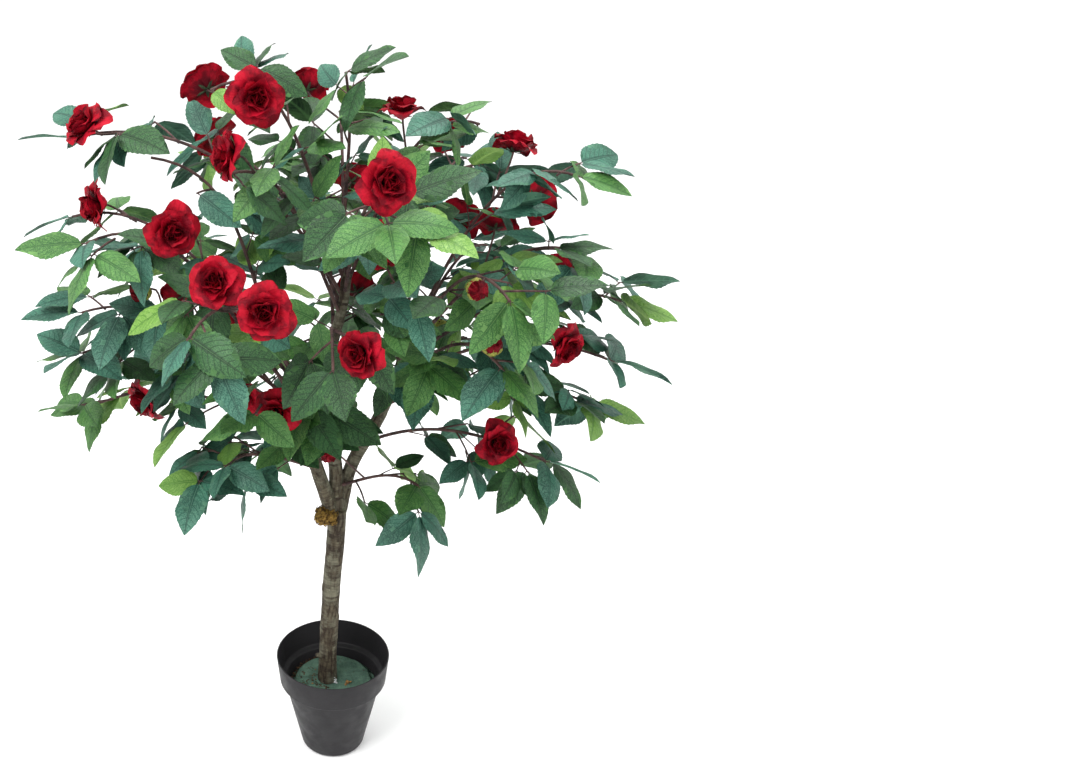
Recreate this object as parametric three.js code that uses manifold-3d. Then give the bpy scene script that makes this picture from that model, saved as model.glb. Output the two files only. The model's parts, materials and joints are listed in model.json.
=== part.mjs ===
// Artificial camellia tree, 1.2 m tall, in a plain black nursery pot.
//
// A natural-wood trunk stands in a foam-filled pot and forks into three boughs. Wire-cored sprays
// are plugged into the boughs: each one is an arching stem with side twigs, fabric leaves, large
// double red blooms and a few half-open buds. Dried moss hides the glued joints.
//
// Millimetres, +Z up. The origin is the centre of the pot's flat underside; -Y is the front.

import * as THREE from "three";
import { mergeVertices } from "three/addons/utils/BufferGeometryUtils.js";
import Module from "manifold-3d";

const wasm = await Module();
wasm.setup();

// ---------------------------------------------------------------- driving dimensions

const SEAT_GAP = 0.3; // clearance between a piece and the piece that carries it

const POT = {
  rimRadius: 93.5,
  height: 179,
  wall: 2.2,
  collarHeight: 47,
  collarFootRadius: 88.5,
  bodyTopRadius: 80,
  step: 4, // height over which the body widens to the collar's foot
  shelf: 3.2, // height of the step inside, over the collar's foot
  baseRadius: 52.5,
  edgeRound: 4,
  floor: 3,
  sides: 32,
};

const FOAM = { top: 126, plugRadius: 64, plugHeight: 12, edgeRound: 4 };

// Each limb runs through its points; its radius goes from foot to tip. The flare is the extra
// radius at the foot, which dies out over flareHeight.
const TRUNK = {
  points: [
    [-9.5, 0, 116],
    [-8, 0, 190],
    [-3, 1, 300],
    [4, 0, 400],
    [8, 0, 470],
  ],
  radii: [14.8, 14.2],
  flare: 3.2,
  flareHeight: 60,
  sides: 14,
  steps: 9,
};

const BOUGHS = {
  left: {
    points: [
      [2, -2, 444],
      [-14, -10, 505],
      [-34, -20, 580],
      [-46, -27, 650],
      [-50, -30, 706],
    ],
    radii: [11.8, 8.6],
  },
  centre: {
    points: [
      [6, 1, 452],
      [4, 3, 530],
      [-6, 5, 624],
      [-3, 9, 725],
      [14, 12, 800],
      [20, 12, 850],
    ],
    radii: [11.5, 7.2],
  },
  right: {
    points: [
      [10, 4, 450],
      [28, 13, 530],
      [70, 20, 612],
      [100, 25, 690],
      [110, 27, 745],
    ],
    radii: [11.2, 8.2],
  },
};
const BOUGH_SIDES = 9;
const BOUGH_STEPS = 6;

// A lump of moss sits round a joint: its centre, radius, height and how far round it is squashed.
const MOSS = {
  fork: { at: [-11, -10, 455], size: [21, 19, 19] },
  left_bough_top: { at: [-47, -28, 684], size: [16, 15, 11] },
  right_bough_top: { at: [107, 26, 722], size: [16, 15, 12] },
};

const MOSS_BULGE = 1.1; // its highest bumps, as a share of its size
const MOSS_HOLLOW = 0.86;

// A stem leaves its limb and ends along straight lines, for these shares of its span.
const STEM = { radii: [3, 1.9], steps: 6, leaving: 0.42, ending: 0.36 };
const HEART_AT = 0.66; // share of the way along the stem of the middle of its foliage
const TWIG = {
  radii: [1.7, 1.3],
  length: 84,
  shorter: [1.1, 0.6], // its share of that length, from the stem's foot to its tip
  between: [0.26, 0.92], // shares of the way along the stem
  shift: 0.03,
  sag: 0.12,
};
const LEAF = {
  length: 82,
  lengthSpread: 0.15,
  width: 0.6, // of its length
  widest: 0.46, // share of the way to its tip
  thickness: 0.016, // of its length
  keelAt: 0.36,
  neck: 4, // along the twig that it grows from
  droop: 0.18,
  sideAngles: [66, 84], // degrees from the twig's own way
  endAngle: 24,
  tilts: [-0.85, 0.3],
  level: 0.35, // least cosine of its roll over from its shoot
};
const BLOOM = { radius: 41, back: 7, dome: 23, petals: 4, twigRadius: 1.7 };
const BUD = { radius: 13, length: 30, sides: 5 };

const SPACE_MARGIN = 1; // a blade stays this far inside its spray's own space
const LIMB_CLEARANCE = 4;
const STEM_CLEARANCE = 3;
const BLADE_CLEARANCE = 5; // between two blades of one spray
const MATE_CLEARANCE = 0.6; // between the blades of one cluster
const OWN_CLEARANCE = 1.5; // between a blade and its own spray's twigs
const TWIG_CLEARANCE = 3;
const FLOWER_CLEARANCE = 2;
const PETAL_CLEARANCE = 3;
const LOWEST_LEAF = 219;
const NECK_REACH = 14; // nearer to its own neck than this, a blade may touch them
const LEAF_TRIES = 12;
const TWIG_TRIES = 8;

// ---------------------------------------------------------------- the sprays
//
// bough and at: the limb that carries the spray, and how far along it, from 0 to 1.
// tip: where the stem ends. rise and fall: the slopes at which it leaves the limb and ends.
// blooms and buds: [x, y, z, azimuth, elevation] of the heart and of the way that it faces;
// azimuth 0 is +X and 270 is the front.

const SPRAYS = {
  crown_tip: {
    bough: "centre", at: 1.0, tip: [17, 12, 1140], rise: 9, fall: 6, twigs: 6, blooms: [],
  },
  top_left_arch: {
    bough: "centre", at: 0.96, tip: [-160, -40, 1128], rise: 2.6, fall: -0.5, twigs: 6,
    blooms: [
      [-172, 10, 1120, 120, 25],
      [-97, -112, 1136, 284, 8],
    ],
  },
  upper_left: {
    bough: "centre", at: 0.9, tip: [-351, -28, 1060], rise: 2.1, fall: -0.25, twigs: 7,
    blooms: [[-322, -52, 1080, 205, 50]],
  },
  left_shoulder: {
    bough: "left", at: 0.945, tip: [-240, -70, 1046], rise: 1.7, fall: 0.2, twigs: 6, blooms: [],
  },
  inner_left_rise: {
    bough: "centre", at: 0.84, tip: [-140, -170, 1050], rise: 1.7, fall: -0.1, twigs: 6,
    blooms: [[-124, -168, 1078, 196, 8]],
  },
  left_high: {
    bough: "left", at: 0.9, tip: [-372, 30, 930], rise: 1.5, fall: -0.35, twigs: 6,
    blooms: [[-330, 20, 950, 205, -5]],
  },
  left_front: {
    bough: "left", at: 0.86, tip: [-325, -125, 946], rise: 1.2, fall: -0.4, twigs: 6,
    blooms: [[-205, -170, 980, 292, 5]],
  },
  left_middle: {
    bough: "left", at: 0.8, tip: [-352, -60, 820], rise: 0.9, fall: -0.3, twigs: 6,
    blooms: [[-222, 48, 806, 130, 15]],
    buds: [[-262, -96, 866, 196, -12]],
  },
  front_left: {
    bough: "left", at: 0.985, tip: [-176, -290, 884], rise: 1.1, fall: -0.5, twigs: 6,
    blooms: [
      [-146, -226, 930, 262, 34],
      [-82, -298, 922, 270, 20],
    ],
  },
  left_low_mid: {
    bough: "left", at: 0.7, tip: [-362, -30, 744], rise: 0.6, fall: -0.4, twigs: 6,
    blooms: [[-131, -52, 688, 250, 4]],
  },
  left_low: {
    bough: "left", at: 0.62, tip: [-356, 20, 636], rise: 0.45, fall: -0.5, twigs: 6,
    blooms: [[-272, -36, 674, 215, -18]],
  },
  left_skirt: {
    bough: "left", at: 0.38, tip: [-190, -50, 566], rise: 0.5, fall: -0.5, twigs: 6,
    blooms: [],
  },
  front_high: {
    bough: "centre", at: 0.92, tip: [66, -270, 1024], rise: 1.5, fall: -0.3, twigs: 6,
    blooms: [[64, -262, 1072, 288, 18]],
  },
  front_centre: {
    bough: "centre", at: 0.66, tip: [0, -270, 830], rise: 1.2, fall: -0.4, twigs: 6,
    blooms: [[36, -250, 846, 236, 10]],
  },
  front_low_left: {
    bough: "left", at: 0.5, tip: [-104, -190, 728], rise: 0.9, fall: -0.4, twigs: 5,
    blooms: [[-76, -166, 718, 254, 4]],
  },
  front_skirt: {
    bough: "centre", at: 0.12, tip: [128, -52, 534], rise: 0.5, fall: -0.5, twigs: 3,
    blooms: [],
    buds: [[-6, -92, 612, 262, 12]],
  },
  right_skirt: {
    bough: "right", at: 0.4, tip: [318, -50, 574], rise: 0.6, fall: -0.4, twigs: 6,
    blooms: [[238, -76, 622, 292, 10]],
  },
  right_low: {
    bough: "right", at: 0.62, tip: [386, -20, 652], rise: 0.7, fall: -0.5, twigs: 6, blooms: [],
  },
  right_low_mid: {
    bough: "right", at: 0.74, tip: [408, -10, 722], rise: 0.8, fall: -0.4, twigs: 6,
    blooms: [[324, -66, 772, 312, -8]],
  },
  right_middle: {
    bough: "right", at: 0.83, tip: [424, 30, 800], rise: 1.0, fall: -0.35, twigs: 6,
    blooms: [[330, 48, 838, 70, 15]],
  },
  right_upper_mid: {
    bough: "right", at: 0.9, tip: [350, -40, 900], rise: 1.3, fall: -0.3, twigs: 6,
    blooms: [[236, 60, 906, 80, 40]],
  },
  right_high: {
    bough: "right", at: 0.955, tip: [344, 20, 992], rise: 2.2, fall: -0.4, twigs: 6,
    blooms: [
      [256, 52, 1024, 60, 60],
      [290, 44, 950, 48, -16],
    ],
  },
  top_right: {
    bough: "centre", at: 0.94, tip: [206, 60, 1056], rise: 2.4, fall: -0.4, twigs: 6,
    blooms: [[98, 66, 1070, 90, 76]],
  },
  front_right: {
    bough: "right", at: 0.92, tip: [222, -230, 908], rise: 1.2, fall: -0.4, twigs: 6,
    blooms: [],
    buds: [[180, -236, 926, 276, 18]],
  },
  front_right_low: {
    bough: "right", at: 0.7, tip: [222, -200, 800], rise: 1.0, fall: -0.4, twigs: 6,
    blooms: [],
    buds: [[208, -196, 832, 280, 72]],
  },
  front_middle: {
    bough: "right", at: 0.86, tip: [104, -240, 900], rise: 1.1, fall: -0.3, twigs: 6,
    blooms: [[70, -66, 922, 318, 2]],
  },
  right_rise: {
    bough: "right", at: 1.0, tip: [183, -72, 1034], rise: 2.8, fall: 0.4, twigs: 6,
    blooms: [],
  },
  back_high: {
    bough: "centre", at: 0.93, tip: [10, 230, 1030], rise: 2.0, fall: -0.3, twigs: 6,
    blooms: [[-40, 240, 1064, 100, 30]],
  },
  back_left_high: {
    bough: "centre", at: 0.86, tip: [-200, 240, 968], rise: 1.6, fall: -0.3, twigs: 6,
    blooms: [[-180, 196, 1000, 135, 20]],
  },
  back_left: {
    bough: "left", at: 0.75, tip: [-290, 200, 812], rise: 1.0, fall: -0.4, twigs: 6,
    blooms: [[-250, 246, 836, 120, 10]],
  },
  back_left_low: {
    bough: "left", at: 0.56, tip: [-203, 238, 643], rise: 0.6, fall: -0.4, twigs: 6,
    blooms: [[-150, 236, 676, 110, 0]],
  },
  back_low: {
    bough: "centre", at: 0.46, tip: [10, 320, 664], rise: 0.8, fall: -0.4, twigs: 6,
    blooms: [[40, 300, 706, 80, 5]],
  },
  back_middle: {
    bough: "centre", at: 0.74, tip: [-20, 370, 852], rise: 1.2, fall: -0.4, twigs: 7,
    blooms: [[30, 350, 884, 85, 15]],
    buds: [[-60, 352, 840, 100, 0]],
  },
  back_right: {
    bough: "right", at: 0.8, tip: [250, 262, 802], rise: 1.0, fall: -0.4, twigs: 6,
    blooms: [[210, 292, 836, 65, 10]],
  },
  back_right_low: {
    bough: "right", at: 0.56, tip: [222, 232, 650], rise: 0.7, fall: -0.4, twigs: 6,
    blooms: [],
    buds: [[176, 226, 676, 60, 10]],
  },
  back_right_high: {
    bough: "right", at: 0.94, tip: [206, 226, 958], rise: 1.8, fall: -0.4, twigs: 6,
    blooms: [[170, 240, 990, 70, 30]],
  },
};

// ---------------------------------------------------------------- colours

const finish = (color, roughness) =>
  new THREE.MeshStandardMaterial({ color, roughness, metalness: 0 });
const FINISH = {
  pot: finish("#474748", 0.6),
  foam: finish("#3f5f50", 0.9),
  bark: finish("#6b6653", 0.85),
  moss: finish("#8a6a35", 0.95),
  foliage: finish("#3f6b46", 0.7),
};

// ---------------------------------------------------------------- vectors and random numbers

const UP = new THREE.Vector3(0, 0, 1);
const vec = (p) => new THREE.Vector3(...p);
const mixed = (...terms) =>
  terms.reduce((sum, [v, share]) => sum.addScaledVector(v, share), new THREE.Vector3());
const blend = (...terms) => mixed(...terms).normalize();
const lerp = THREE.MathUtils.lerp;

// A small repeatable generator, so that the same spray grows on every run.
function randomStream(seed) {
  let state = seed >>> 0;
  return () => {
    state = (state + 0x6d2b79f5) >>> 0;
    let t = state;
    t = Math.imul(t ^ (t >>> 15), t | 1);
    t ^= t + Math.imul(t ^ (t >>> 7), t | 61);
    return ((t ^ (t >>> 14)) >>> 0) / 4294967296;
  };
}

function heading(azimuth, elevation) {
  const a = THREE.MathUtils.degToRad(azimuth);
  const e = THREE.MathUtils.degToRad(elevation);
  return new THREE.Vector3(Math.cos(a) * Math.cos(e), Math.sin(a) * Math.cos(e), Math.sin(e));
}

// ---------------------------------------------------------------- solids

function solidOf(geometry) {
  const bare = new THREE.BufferGeometry();
  bare.setAttribute("position", geometry.getAttribute("position"));
  bare.setIndex(geometry.getIndex());
  const merged = mergeVertices(bare, 1e-4);
  const index = merged.getIndex().array;
  const kept = [];
  for (let i = 0; i < index.length; i += 3) {
    const [a, b, c] = [index[i], index[i + 1], index[i + 2]];
    if (a !== b && b !== c && c !== a) kept.push(a, b, c);
  }
  return new wasm.Manifold(
    new wasm.Mesh({
      numProp: 3,
      vertProperties: new Float32Array(merged.getAttribute("position").array),
      triVerts: new Uint32Array(kept),
    }),
  );
}

function geometryOf(solid) {
  const mesh = solid.getMesh();
  const position = new Float32Array(mesh.numVert * 3);
  for (let i = 0; i < mesh.numVert; i++) {
    const from = i * mesh.numProp;
    position.set(mesh.vertProperties.subarray(from, from + 3), i * 3);
  }
  const geometry = new THREE.BufferGeometry();
  geometry.setAttribute("position", new THREE.BufferAttribute(position, 3));
  geometry.setIndex(new THREE.BufferAttribute(mesh.triVerts, 1));
  geometry.computeVertexNormals();
  return geometry;
}

function geometryFrom(points, faces) {
  const geometry = new THREE.BufferGeometry();
  const flat = points.flatMap((p) => [p.x, p.y, p.z]);
  geometry.setAttribute("position", new THREE.Float32BufferAttribute(flat, 3));
  geometry.setIndex(faces.flat());
  return geometry;
}

// A closed tube along a curve, with flat ends. radiusAt takes the share of the way along it.
function taperedTube(curve, radiusAt, steps, sides) {
  const frames = curve.computeFrenetFrames(steps, false);
  const points = [];
  const faces = [];
  for (let i = 0; i <= steps; i++) {
    const centre = curve.getPointAt(i / steps);
    const radius = radiusAt(i / steps);
    for (let k = 0; k < sides; k++) {
      const angle = (2 * Math.PI * k) / sides;
      points.push(
        mixed(
          [centre, 1],
          [frames.normals[i], radius * Math.cos(angle)],
          [frames.binormals[i], radius * Math.sin(angle)],
        ),
      );
    }
  }
  for (let i = 0; i < steps; i++) {
    for (let k = 0; k < sides; k++) {
      const next = (k + 1) % sides;
      const [a, b] = [i * sides + k, i * sides + next];
      faces.push([a, b, b + sides], [a, b + sides, a + sides]);
    }
  }
  const last = steps * sides;
  for (let k = 1; k < sides - 1; k++) {
    faces.push([0, k + 1, k], [last, last + k, last + k + 1]);
  }
  return geometryFrom(points, faces);
}

// A solid of rings round an axis, from pole to pole. rings: [radius, height along the axis].
function ringSolid(centre, axis, poles, rings, sides, scallop) {
  const turn = new THREE.Quaternion().setFromUnitVectors(UP, axis);
  const points = [new THREE.Vector3(0, 0, poles[0])];
  for (const [radius, height] of rings) {
    for (let k = 0; k < sides; k++) {
      const angle = (2 * Math.PI * k) / sides;
      const r = radius * (k % 2 ? scallop : 1);
      points.push(new THREE.Vector3(r * Math.cos(angle), r * Math.sin(angle), height));
    }
  }
  points.push(new THREE.Vector3(0, 0, poles[1]));
  const top = points.length - 1;
  const faces = [];
  for (let k = 0; k < sides; k++) {
    const next = (k + 1) % sides;
    faces.push([0, 1 + next, 1 + k]);
    for (let ring = 0; ring < rings.length - 1; ring++) {
      const [a, b] = [1 + ring * sides + k, 1 + ring * sides + next];
      faces.push([a, b, b + sides], [a, b + sides, a + sides]);
    }
    faces.push([top - sides + k, top - sides + next, top]);
  }
  points.forEach((p) => p.applyQuaternion(turn).add(centre));
  return geometryFrom(points, faces);
}

// ---------------------------------------------------------------- pot and foam

function lathe(profile, sides) {
  const geometry = new THREE.LatheGeometry(
    profile.map(([r, z]) => new THREE.Vector2(r, z)),
    sides,
  );
  return geometry.rotateX(Math.PI / 2);
}

const collarFoot = POT.height - POT.collarHeight;
const innerBody = (z) => {
  const share = (z - POT.floor) / (collarFoot - POT.floor);
  return lerp(POT.baseRadius, POT.bodyTopRadius, share) - POT.wall;
};

function potGeometry() {
  const { wall, edgeRound } = POT;
  return lathe(
    [
      [0, 0],
      [POT.baseRadius - edgeRound, 0],
      [POT.baseRadius, edgeRound],
      [POT.bodyTopRadius, collarFoot - POT.step],
      [POT.collarFootRadius, collarFoot],
      [POT.rimRadius, POT.height],
      [POT.rimRadius - wall, POT.height],
      [POT.collarFootRadius - wall, collarFoot + POT.shelf],
      [POT.bodyTopRadius - wall, collarFoot],
      [POT.baseRadius - wall, POT.floor],
      [0, POT.floor],
    ],
    POT.sides,
  );
}

function foamGeometry() {
  const shelf = FOAM.top - FOAM.plugHeight;
  const foot = POT.floor + SEAT_GAP;
  return lathe(
    [
      [0, foot],
      [innerBody(foot) - SEAT_GAP, foot],
      [innerBody(shelf) - SEAT_GAP, shelf],
      [FOAM.plugRadius, shelf],
      [FOAM.plugRadius, FOAM.top - FOAM.edgeRound],
      [FOAM.plugRadius - FOAM.edgeRound, FOAM.top],
      [0, FOAM.top],
    ],
    POT.sides,
  );
}

// ---------------------------------------------------------------- trunk and boughs

function limbCurve(limb) {
  return new THREE.CatmullRomCurve3(limb.points.map(vec), false, "centripetal");
}

function limbRadius(limb, curve) {
  const length = curve.getLength();
  return (t) => {
    const flare = limb.flare ?? 0;
    const rise = 1 - Math.min(1, (t * length) / (limb.flareHeight ?? 1));
    return lerp(limb.radii[0], limb.radii[1], t) + flare * rise * rise;
  };
}

// A limb's solid, and the same limb grown by the seat gap, which cuts what it carries.
function limbSolids(limb, sides, steps) {
  const curve = limbCurve(limb);
  const radius = limbRadius(limb, curve);
  const grown = (t) => radius(t) + SEAT_GAP / Math.cos(Math.PI / sides);
  return {
    curve,
    radius,
    solid: solidOf(taperedTube(curve, radius, steps, sides)),
    cutter: withEndGap(solidOf(taperedTube(curve, grown, steps, sides)), curve),
  };
}

// Keeps the seat gap above a limb's flat end as well.
function withEndGap(solid, curve) {
  return solid.add(solid.translate(curve.getTangent(1).multiplyScalar(SEAT_GAP).toArray()));
}

const trunk = limbSolids(TRUNK, TRUNK.sides, TRUNK.steps);
const groundLevel = FOAM.top + SEAT_GAP;
trunk.solid = trunk.solid.trimByPlane([0, 0, 1], groundLevel);

const boughs = {};
let carried = trunk.cutter;
for (const [name, limb] of Object.entries(BOUGHS)) {
  const made = limbSolids(limb, BOUGH_SIDES, BOUGH_STEPS);
  made.solid = largestPiece(made.solid.subtract(carried));
  carried = carried.add(made.cutter);
  boughs[name] = made;
}

function largestPiece(solid) {
  return solid.decompose().reduce((a, b) => (a.volume() >= b.volume() ? a : b));
}

// Points along every limb and in the moss, with its radius there: what foliage keeps clear of.
const limbBeads = [trunk, ...Object.values(boughs)].flatMap(({ curve, radius }) => {
  const count = Math.ceil(curve.getLength() / 6);
  return Array.from({ length: count + 1 }, (_, i) => ({
    at: curve.getPointAt(i / count),
    radius: radius(i / count),
  }));
});
for (const { at, size } of Object.values(MOSS)) {
  limbBeads.push({ at: vec(at), radius: Math.max(...size) * MOSS_BULGE });
}

// ---------------------------------------------------------------- how a spray grows

function stemCurve(spray) {
  const { curve } = boughs[spray.bough];
  const foot = curve.getPointAt(spray.at);
  const tip = vec(spray.tip);
  const span = foot.distanceTo(tip);
  const out = blend([tip, 1], [foot, -1]).setZ(0).normalize();
  const leaving = blend([out, 1], [UP, spray.rise]);
  const ending = blend([out, 1], [UP, spray.fall]);
  const arch = new THREE.CubicBezierCurve3(
    foot,
    mixed([foot, 1], [leaving, STEM.leaving * span]),
    mixed([tip, 1], [ending, -STEM.ending * span]),
    tip,
  );
  const across = new THREE.Vector3().crossVectors(UP, out);
  return { out, across, curve: brokenLine(arch, STEM.steps) };
}

// The straight runs between evenly spaced points of a curve, as the stem's solid has them.
function brokenLine(curve, steps) {
  const corners = curve.getSpacedPoints(steps);
  const line = new THREE.CurvePath();
  for (let i = 0; i < steps; i++) line.add(new THREE.LineCurve3(corners[i], corners[i + 1]));
  return line;
}

// The blade's own frame: along, across and its normal, from its base.
function bladeFrame(base, along, facing, length) {
  const across = new THREE.Vector3().crossVectors(facing, along).normalize();
  const normal = new THREE.Vector3().crossVectors(along, across).normalize();
  return { base, along, across, normal, length };
}

const bladeDrop = (share) => -LEAF.droop * share * share;
const bladeHalfWidth = (share) =>
  0.5 * LEAF.width * Math.min(share / LEAF.widest, (1 - share) / (1 - LEAF.widest));

// side is -1 to 1 of the blade's widest half, and lift is along its normal.
function bladePoint(blade, share, side, lift = 0) {
  return mixed(
    [blade.base, 1],
    [blade.along, share * blade.length],
    [blade.across, side * blade.length * LEAF.width * 0.5],
    [blade.normal, bladeDrop(share) * blade.length + lift],
  );
}

// True where a ball round the point would touch the blade.
function touchesBlade(blade, point, clearance) {
  const away = point.clone().sub(blade.base);
  const share = away.dot(blade.along) / blade.length;
  const edge = clearance / blade.length;
  if (share < -edge || share > 1 + edge) return false;
  const inside = Math.min(1, Math.max(0, share));
  const across = Math.abs(away.dot(blade.across));
  if (across > bladeHalfWidth(inside) * blade.length + clearance) return false;
  const surface = bladeDrop(inside) * blade.length;
  return Math.abs(away.dot(blade.normal) - surface) < clearance + 1;
}

const BLADE_SPOTS = [
  [0.25, 0], [0.25, -0.5], [0.25, 0.5], [0.46, -1], [0.46, 0], [0.46, 1],
  [0.72, -0.5], [0.72, 0.5], [1, 0],
];

const bladeSpots = (blade) =>
  BLADE_SPOTS.map(([share, side]) => bladePoint(blade, share, side));

const bladesTouch = (one, other, clearance) =>
  bladeSpots(one).some((p) => touchesBlade(other, p, clearance)) ||
  bladeSpots(other).some((p) => touchesBlade(one, p, clearance));

function insideBloom(bloom, point, clearance) {
  const away = point.clone().sub(bloom.at);
  const height = away.dot(bloom.facing);
  const across = Math.sqrt(Math.max(0, away.lengthSq() - height * height));
  return (
    height > -bloom.back - clearance &&
    height < bloom.dome + clearance &&
    across < bloom.radius + clearance
  );
}

function bloomSpots(bloom) {
  const side = blend([new THREE.Vector3(0.31, 0.47, 0.83).cross(bloom.facing), 1]);
  const other = new THREE.Vector3().crossVectors(bloom.facing, side);
  const spots = [bloom.at.clone()];
  for (let k = 0; k < 10; k++) {
    const angle = (2 * Math.PI * k) / 10;
    for (const share of [0.5, 0.95]) {
      spots.push(
        mixed(
          [bloom.at, 1],
          [side, share * bloom.radius * Math.cos(angle)],
          [other, share * bloom.radius * Math.sin(angle)],
          [bloom.facing, 0.35 * bloom.dome],
        ),
      );
    }
  }
  return spots;
}

function nearestOnStem(stem, point) {
  let best = { share: 0, distance: Infinity };
  for (let i = 20; i <= 95; i += 5) {
    const distance = stem.curve.getPoint(i / 100).distanceTo(point);
    if (distance < best.distance) best = { share: i / 100, distance };
  }
  return best.share;
}

function beadsAlong(curve, radius, count) {
  return Array.from({ length: count + 1 }, (_, i) => ({
    at: curve.getPoint(i / count),
    radius,
  }));
}

// First every stem and bloom, so that each spray's twigs and leaves can keep clear of the others'.
const sprays = Object.entries(SPRAYS).map(([name, spray], number) => {
  const stem = stemCurve(spray);
  const flowers = [
    ...spray.blooms.map((b) => ({ kind: "bloom", row: b, ...BLOOM })),
    ...(spray.buds ?? []).map((b) => ({
      kind: "bud", row: b, radius: BUD.radius, back: BUD.length / 2, dome: BUD.length / 2,
    })),
  ].map((flower) => {
    const [x, y, z, azimuth, elevation] = flower.row;
    const at = new THREE.Vector3(x, y, z);
    const facing = heading(azimuth, elevation);
    const foot = stem.curve.getPoint(Math.max(0.2, nearestOnStem(stem, at) - 0.12));
    const twig = new THREE.LineCurve3(foot, mixed([at, 1], [facing, 1 - flower.back * 0.5]));
    return { ...flower, at, facing, twig };
  });
  return {
    name, number, ...spray, stem, flowers,
    heart: stem.curve.getPoint(HEART_AT),
    beads: [
      ...beadsAlong(stem.curve, STEM.radii[0], 60),
      ...flowers.flatMap((f) => beadsAlong(f.twig, BLOOM.twigRadius, 12)),
    ],
    twigs: [],
    leaves: [],
    twigCount: spray.twigs,
  };
});

const allFlowers = sprays.flatMap((s) => s.flowers);

// A spray's own space: the points nearer to its heart than to any other spray's.
function inOwnSpace(spray, point) {
  return sprays.every((other) => {
    if (other === spray) return true;
    const between = mixed([other.heart, 1], [spray.heart, -1]);
    const middle = mixed([other.heart, 0.5], [spray.heart, 0.5]);
    const past = point.clone().sub(middle).dot(between) / between.length();
    return past < -SPACE_MARGIN;
  });
}

function twigIsFree(spray, points, clear) {
  return points.every(
    (p, i) =>
      i === 0 ||
      (inOwnSpace(spray, p) &&
        !limbBeads.some((b) => b.at.distanceTo(p) < b.radius + clear) &&
        !allFlowers.some((f) => insideBloom(f, p, FLOWER_CLEARANCE)) &&
        !sprays.some(
          (s) => s !== spray && s.beads.some((b) => b.at.distanceTo(p) < b.radius + clear),
        )),
  );
}

function bladeIsFree(spray, blade) {
  const spots = bladeSpots(blade);
  const nears = (beads, clearance, awayFromNeck) =>
    beads.some(
      (b) =>
        b.at.distanceTo(blade.base) > awayFromNeck &&
        touchesBlade(blade, b.at, b.radius + clearance),
    );
  return (
    spots.every((p) => p.z > LOWEST_LEAF && inOwnSpace(spray, p)) &&
    !nears(limbBeads, LIMB_CLEARANCE, 0) &&
    !nears(spray.beads, OWN_CLEARANCE, NECK_REACH) &&
    !sprays.some((s) => s !== spray && nears(s.beads, STEM_CLEARANCE, 0)) &&
    !allFlowers.some(
      (f) =>
        spots.some((p) => insideBloom(f, p, FLOWER_CLEARANCE)) ||
        bloomSpots(f).some((p) => touchesBlade(blade, p, PETAL_CLEARANCE)),
    ) &&
    !spray.leaves.some((other) => bladesTouch(blade, other, BLADE_CLEARANCE))
  );
}

// Tries a few leans for one leaf, and keeps the first that is free. turn is 0 for the leaf that
// runs on from the twig's end, and 1 or -1 for those on its two sides.
function growLeaf(spray, base, onward, across, turn, random, mates) {
  for (let attempt = 0; attempt < LEAF_TRIES; attempt++) {
    const degrees = turn
      ? turn * lerp(...LEAF.sideAngles, random())
      : LEAF.endAngle * (random() - 0.5);
    const angle = THREE.MathUtils.degToRad(degrees);
    const along = blend(
      [onward, Math.cos(angle)],
      [across, Math.sin(angle)],
      [UP, lerp(...LEAF.tilts, random())],
    );
    const facing = blend(
      [UP, 0.9],
      [spray.stem.out, 0.7],
      [across, 0.9 * (random() - 0.5)],
      [onward, 0.9 * (random() - 0.5)],
    );
    const length = LEAF.length * (1 + LEAF.lengthSpread * (2 * random() - 1));
    const blade = bladeFrame(base, along, facing, length);
    const roll = turn ? -turn * blade.across.dot(onward) : blade.across.dot(across);
    if (roll < LEAF.level) continue;
    const clear = mates.every((mate) => !mate || !bladesTouch(blade, mate, MATE_CLEARANCE));
    if (clear && bladeIsFree(spray, blade)) return blade;
  }
  return null;
}

// The cluster at the end of a shoot: one leaf that runs on, and one on either side.
function growCluster(spray, curve, across, seed) {
  const random = randomStream(seed);
  const onward = curve.getTangent(1);
  const end = curve.getPoint(1);
  const neck = mixed([end, 1], [onward, -LEAF.neck / 2]);
  const cluster = [];
  for (const turn of [0, 1, -1]) {
    cluster.push(growLeaf(spray, turn ? neck : end, onward, across, turn, random, cluster));
  }
  return cluster;
}

const leafCount = (cluster) => cluster.filter(Boolean).length;

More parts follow.
